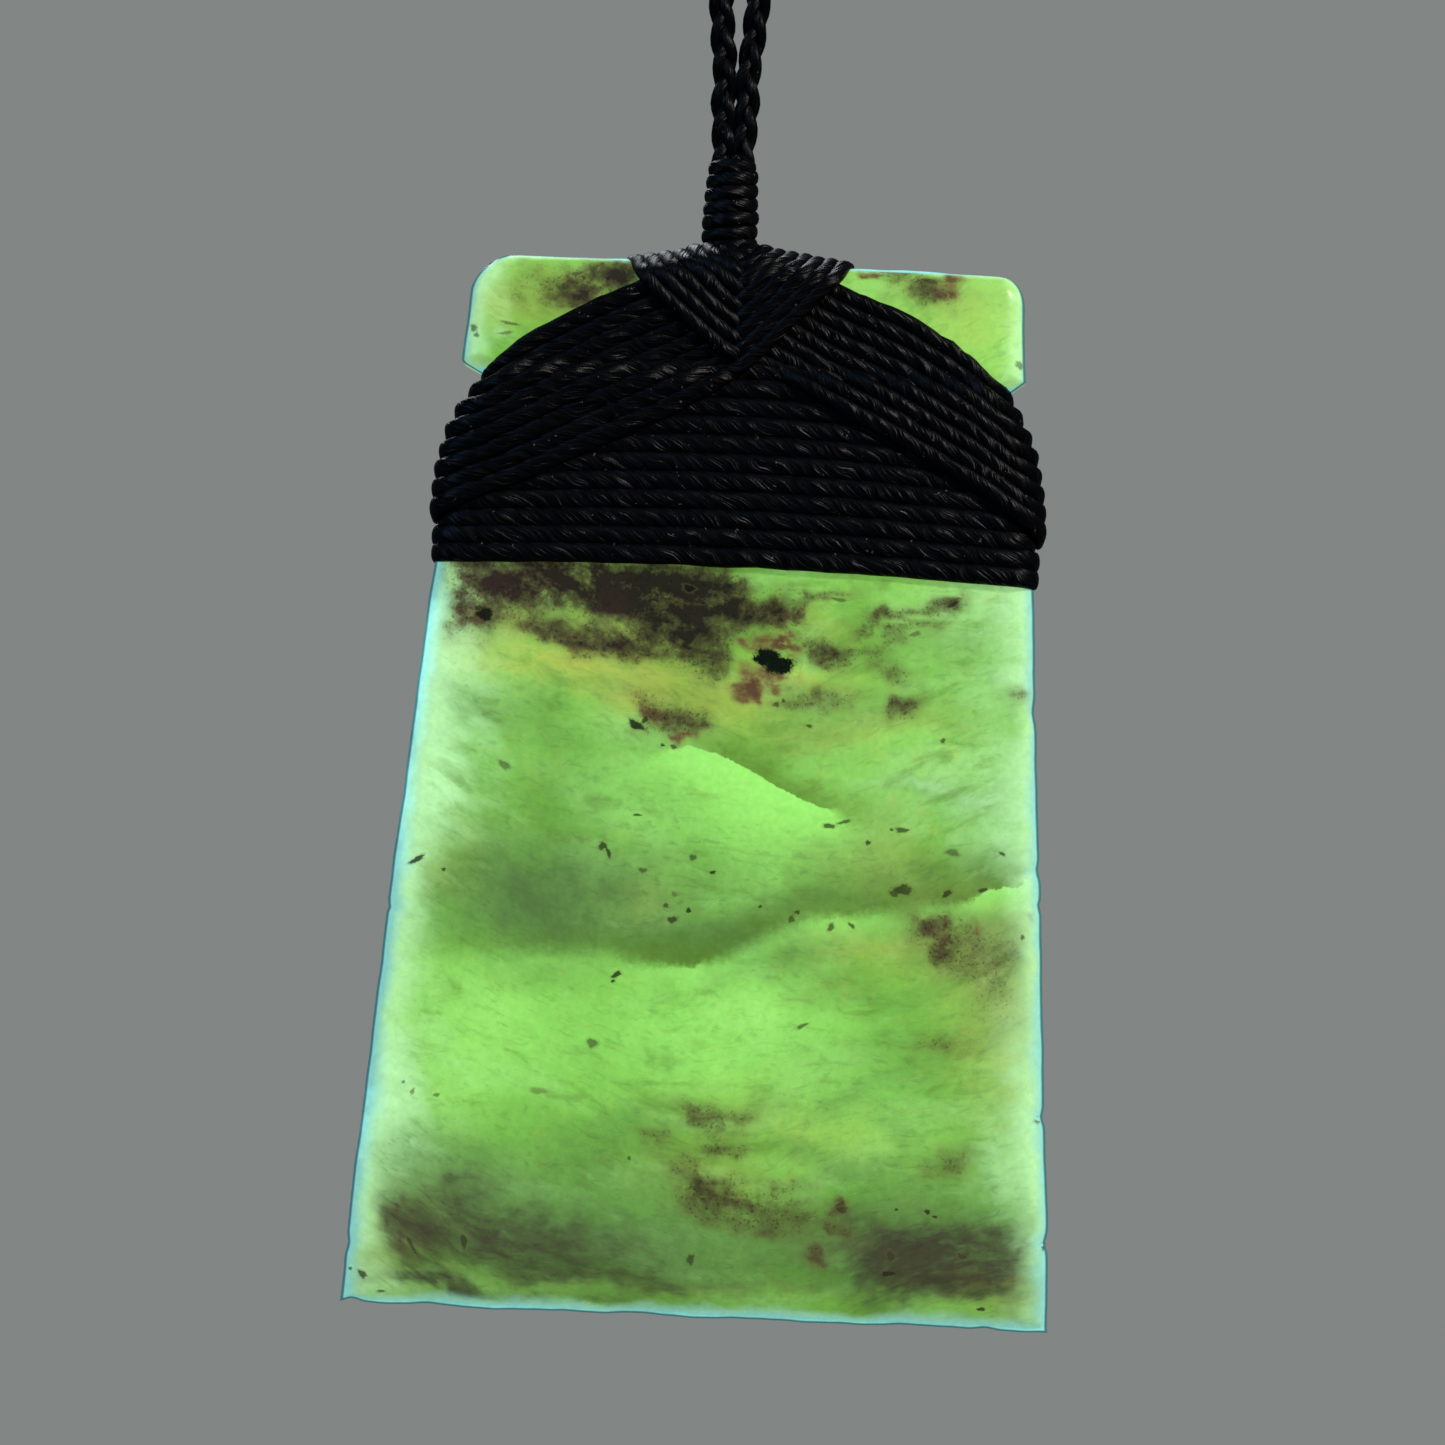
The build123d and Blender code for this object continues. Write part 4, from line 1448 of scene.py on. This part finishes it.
def stone_material():
    """Nephrite with the light that shines through it from behind painted in as a glow: mottled yellow green,
    veils, smoky and maroon clouds, black specks, a painted icy light along the edges and a painted dark rim.
    """
    make = Nodes("greenstone_painted_glow")
    field = make.field
    place = make.place()
    x, y = make.split(place)
    flow = make.join(x * 0.42, y * 0.15, field("flow"))
    clouds, drift, wisps, mottle, flecks, pepper, grain, fine, threads = (
        make.noise(flow if row.flows else place, row.scale, row.detail, row.rough, row.warp)
        for row in STONE_PATTERNS
    )
    texture = wisps.soft(0.30, 0.70, 1.15, 0.55)
    shade = make.math("POWER", field("shade"), 0.85)
    colour = make.tint(BASE_GREEN, [
        (clouds.soft(0.36, 0.64), DEEP_GREEN),
        (drift.soft(0.46, 0.70, 0.0, 0.40), PALE_GREEN),
        (drift.soft(0.48, 0.30, 0.0, 0.22), SHADE_GREEN),
        (mottle.soft(0.52, 0.76, 0.0, 0.30), YELLOW_GREEN),
        (field("bright") * 0.80, BRIGHT_GREEN),
        (field("pale").capped(texture), PALE_MINT),
        (field("yellow").capped(texture), YELLOW_GREEN),
        (shade.capped(mottle.soft(0.30, 0.70, 0.80, 1.05)), SHADE_GREEN),
        (wisps.soft(0.52, 0.76, 0.0, 0.42), OLIVE_GREEN),
        (wisps.soft(0.42, 0.24, 0.0, 0.22), PALE_GREEN),
        (threads.soft(0.50, 0.72) * field("shade").soft(0.0, 0.5, 0.24, 0.42), SHADE_GREEN),
    ])

    ragged = mottle.sway(0.24) + flecks.sway(0.14)
    for veil in VEIL_LOOKS:
        bright = field(veil.name + "_bright")
        drop = field(veil.name) + ragged * veil.rough
        soft = bright.soft(0.30, 0.80, 1.1, 0.05)
        under = drop.soft(soft * -1.0, soft)
        over = make.math("SUBTRACT", 1.0, under)
        gloom = over * drop.soft(-veil.fade, 0.0, 0.0, veil.depth)
        colour = make.tint(colour, [
            (under * drop.soft(veil.glow, 0.0, 0.0, 0.85) * bright, BRIGHT_GREEN),
            (gloom * field(veil.name + "_dark"), OLIVE_GREEN),
        ])

    # A painted haze of mint light inside the edges
    edge_haze_glow = field("edge_haze_glow") + wisps.sway(0.25)
    uneven = mottle.sway(0.20) + wisps.sway(0.30) + fine.sway(0.12) + flecks.sway(0.22) + 1.0
    red = field("maroon") * uneven
    dusk = field("dusk") * (wisps.even(0.30, 0.70, 0.84, 1.16) + threads.sway(0.10))
    smoke = field("smoke")
    cloudy = smoke * uneven
    brown = make.tint(SMOKE_RED, [(clouds.soft(0.40, 0.62), SMOKE_BROWN)])
    dots = pepper.soft(0.56, 0.66) * smoke.soft(0.08, 0.40)
    edge_glow = field("edge_glow") + mottle.sway(0.16)
    speck = field("speck") + grain.sway(0.16)
    colour = make.tint(colour, [
        (edge_haze_glow.soft(0.0, 1.0, 0.0, 0.75), PALE_MINT),
        (red.soft(0.05, 0.70, 0.0, 0.72), RUST),
        (red.soft(0.38, 0.95, 0.0, 0.85), MAROON_BROWN),
        (dusk.even(0.0, 0.85, 0.0, 0.92), DUSK_GREY),
        (dusk.even(0.45, 1.1, 0.0, 0.85), DUSK_BROWN),
        (cloudy.even(0.0, 0.60, 0.0, 0.84), SMOKE_GREEN),
        (cloudy.even(0.25, 0.88, 0.0, 0.96), brown),
        (dots * 0.50, BLACK_SPECK),
        # Painted icy light along the edges and on the notches
        (edge_glow.soft(-0.20, 0.90, 0.0, 0.90), EDGE_GLOW_WHITE),
        (field("edge_glow").soft(0.45, 1.0, 0.0, 0.75), EDGE_GLOW_BLUE),
        # Painted shade on the dark rim
        (field("rim").soft(-0.10, 0.50, 0.0, 0.85), RIM_SHADE_TEAL),
        (speck.soft(-0.60, 0.1, 0.0, 0.30), SMOKE_GREEN),
        (speck.soft(-0.10, 0.30) * field("speck_dark"), BLACK_SPECK),
    ])
    colour = make.scaled(colour, flecks.even(0.30, 0.70, 0.92, 1.08))
    # More painted glow where the painted icy light along the edges meets the pale patches
    painted_glow_boost = edge_glow.soft(0.0, 0.8) * field("pale").soft(0.60, 0.90, 0.0, 0.80)
    return make.finish({
        "Base Color": colour,
        # Painted light: the stone's colours also glow, a painted stand-in for the light shining through it
        # from behind
        "Emission Color": make.scaled(colour, painted_glow_boost + 1.0),
        "Emission Strength": 0.67,
        "Roughness": 0.30,
        "IOR": 1.61,
        "Specular IOR Level": 0.35,
        "Normal": make.bump(wisps, 0.00002, 0.5),
    })


CORD_BLACK = linear(4, 5, 8)
CORD_DUST_AND_SHEEN = linear(62, 56, 48)
CORD_LINT = linear(110, 106, 100)
CORD_PLIES = 4
TWIST_PER_MM = 0.21


def cord_material():
    """Black waxed cord: twisted fibres in relief, a soft waxy gloss, lighter fibre tops that are partly dust
    and partly a painted sheen, and bits of lint.
    """
    make = Nodes("waxed_cord_black")
    along, around = make.split(make.node("ShaderNodeUVMap", 0, {}, uv_map="cord"))
    place = make.place()
    wobble = make.noise(place, 0.5, 1.0).even(0.2, 0.8, -0.12, 0.12)
    twisted = around + along * TWIST_PER_MM + wobble
    plies = make.math("SINE", twisted * (2 * math.pi * CORD_PLIES)).even(-1.0, 1.0, 0.0, 1.0)
    fibres = make.noise(make.join(along * 0.35, twisted * 13.0), 1.0, 2.0)
    fuzz = make.noise(place, 4.2, 2.0, 0.6)
    dust_and_sheen_patches = make.noise(place, 0.7, 3.0, 0.6)
    # Lighter fibre tops in patches: partly dust, partly a painted sheen
    dust_and_sheen = fibres.soft(0.54, 0.68).capped(dust_and_sheen_patches.soft(0.42, 0.66, 0.0, 0.20))
    tufts = make.noise(place, 8.0, 1.0, 0.3).soft(0.58, 0.66)
    lint = make.noise(place, 2.3, 1.0, 0.4).soft(0.70, 0.74).capped(tufts)
    return make.finish({
        "Base Color": make.tint(CORD_BLACK, [(dust_and_sheen, CORD_DUST_AND_SHEEN), (lint, CORD_LINT)]),
        "Roughness": fibres.even(0.3, 0.7, 0.44, 0.32),
        "Specular IOR Level": 0.17,
        "Normal": make.bump(plies * 0.46 + fibres * 1.3 + fuzz * 0.30, 0.00008, 1.0),
    })


# Stage, lights and camera

FLOOR_DROP = 0.25
STAGE_MIDDLE = 0.3
STAGE_RADIUS = 2.6
STAGE_BEND = 0.7
STAGE_TOP = 2.6
STAGE_SIDES = 96
PAPER_GREY = linear(92, 94, 93)
PAPER_GLOW = linear(128, 132, 130)


def build_stage():
    """A round pale floor that curves up into a pale wall on all sides, far behind any camera."""
    floor_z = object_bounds()[0][2] - FLOOR_DROP
    bend = np.radians(np.arange(-90, 1, 10))
    radii = np.concatenate([[STAGE_MIDDLE], STAGE_RADIUS + STAGE_BEND * (np.cos(bend) - 1), [STAGE_RADIUS]])
    heights = np.concatenate([[0.0], STAGE_BEND * (np.sin(bend) + 1), [STAGE_TOP]]) + floor_z
    turn = np.linspace(0, 2 * math.pi, STAGE_SIDES, endpoint=False)
    level = np.ones_like(turn)
    places = (radii, np.cos(turn)), (radii, np.sin(turn)), (heights, level)
    verts = np.stack([np.outer(down, around) for down, around in places], 2)
    numbers = np.arange(len(radii) * STAGE_SIDES).reshape(-1, STAGE_SIDES)
    faces = [numbers[0].tolist()] + cells(wrapped(numbers), True).tolist()
    stage = new_mesh("studio_sweep", verts.reshape(-1, 3), faces)
    make = Nodes("studio_paper")
    stage.data.materials.append(make.finish({
        "Base Color": PAPER_GREY,
        "Emission Color": PAPER_GLOW,
        "Emission Strength": 1.0,
        "Roughness": 0.9,
        "Specular IOR Level": 0.1,
    }))
    stage.visible_diffuse = False
    stage.visible_glossy = False


# Soft studio light: warm from the upper right, cool from the left, and a weak one for the back. Each has its
# name, its place in metres from the blade, its size, power and colour.
LIGHTS = (
    ("key_light", (0.60, -0.54, 0.50), 0.14, 4.7, (1.0, 0.95, 0.89)),
    ("fill_light", (-0.62, -0.50, 0.36), 0.80, 2.0, (0.34, 0.60, 1.0)),
    ("back_light", (-0.30, 0.72, 0.66), 0.50, 4.0, (0.86, 0.93, 1.0)),
)
LIT_DEPTH = 20.0
AIR_COLOUR = (0.66, 0.80, 1.0, 1.0)
AIR_STRENGTH = 0.04


def build_lights():
    """The three lamps, which look at the blade and stay out of the camera's sight, and a faint blue air."""
    target = Vector((MIDDLE_X * MM, 0.0, (HEAD_Z - LIT_DEPTH) * MM))
    for name, offset, size, power, colour in LIGHTS:
        light = bpy.data.lights.new(name, "AREA")
        light.shape = "DISK"
        light.size = size
        light.energy = power
        light.color = colour
        obj = in_scene(bpy.data.objects.new(name, light))
        obj.location = target + Vector(offset)
        obj.rotation_euler = (-Vector(offset)).to_track_quat("-Z", "Y").to_euler()
        obj.visible_camera = False
    world = bpy.data.worlds.new("studio_air")
    world.use_nodes = True
    background = world.node_tree.nodes["Background"]
    background.inputs[0].default_value = AIR_COLOUR
    background.inputs[1].default_value = AIR_STRENGTH
    bpy.context.scene.world = world


CAMERA_DISTANCE = 0.36
SENSOR = 36.0


def build_camera():
    """The photograph's view: square on to the blade, and turned a little to the left."""
    x, z = from_photo(PHOTO_SIZE / 2, PHOTO_SIZE / 2)
    target = to_row([(x, 0.0, z)])[0]
    camera = bpy.data.cameras.new("photo_camera")
    camera.sensor_fit = "HORIZONTAL"
    camera.sensor_width = SENSOR
    camera.lens = SENSOR * CAMERA_DISTANCE / (PHOTO_SIZE * PHOTO_MM * MM)
    camera.clip_start = 0.01
    obj = in_scene(bpy.data.objects.new("photo_camera", camera))
    level = Matrix.Rotation(math.pi / 2, 4, "X")
    roll = Matrix.Rotation(PHOTO_ROLL, 4, "Z")
    obj.matrix_world = Matrix.Translation((target[0], -CAMERA_DISTANCE, target[2])) @ level @ roll
    bpy.context.scene.camera = obj


build_camera()
materials = {"greenstone": stone_material(), "waxed_cord": cord_material()}
pieces = [
    (build_blade(), "greenstone", "toki_blade"),
    (build_band(), "waxed_cord", "band_lashing"),
    (build_cross_lashing(), "waxed_cord", "cross_lashing"),
    (build_neck(), "waxed_cord", "neck_whipping"),
    (build_plait(-1, "plait_left"), "waxed_cord", "plaited_cord_left"),
    (build_plait(1, "plait_right"), "waxed_cord", "plaited_cord_right"),
    (build_closure(), "waxed_cord", "closure_whipping"),
]
for piece, slot, node in pieces:
    piece.data.materials.append(materials[slot])
    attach(piece, "root")
    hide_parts(node)
build_stage()
build_lights()
bpy.context.scene.view_settings.view_transform = "Standard"
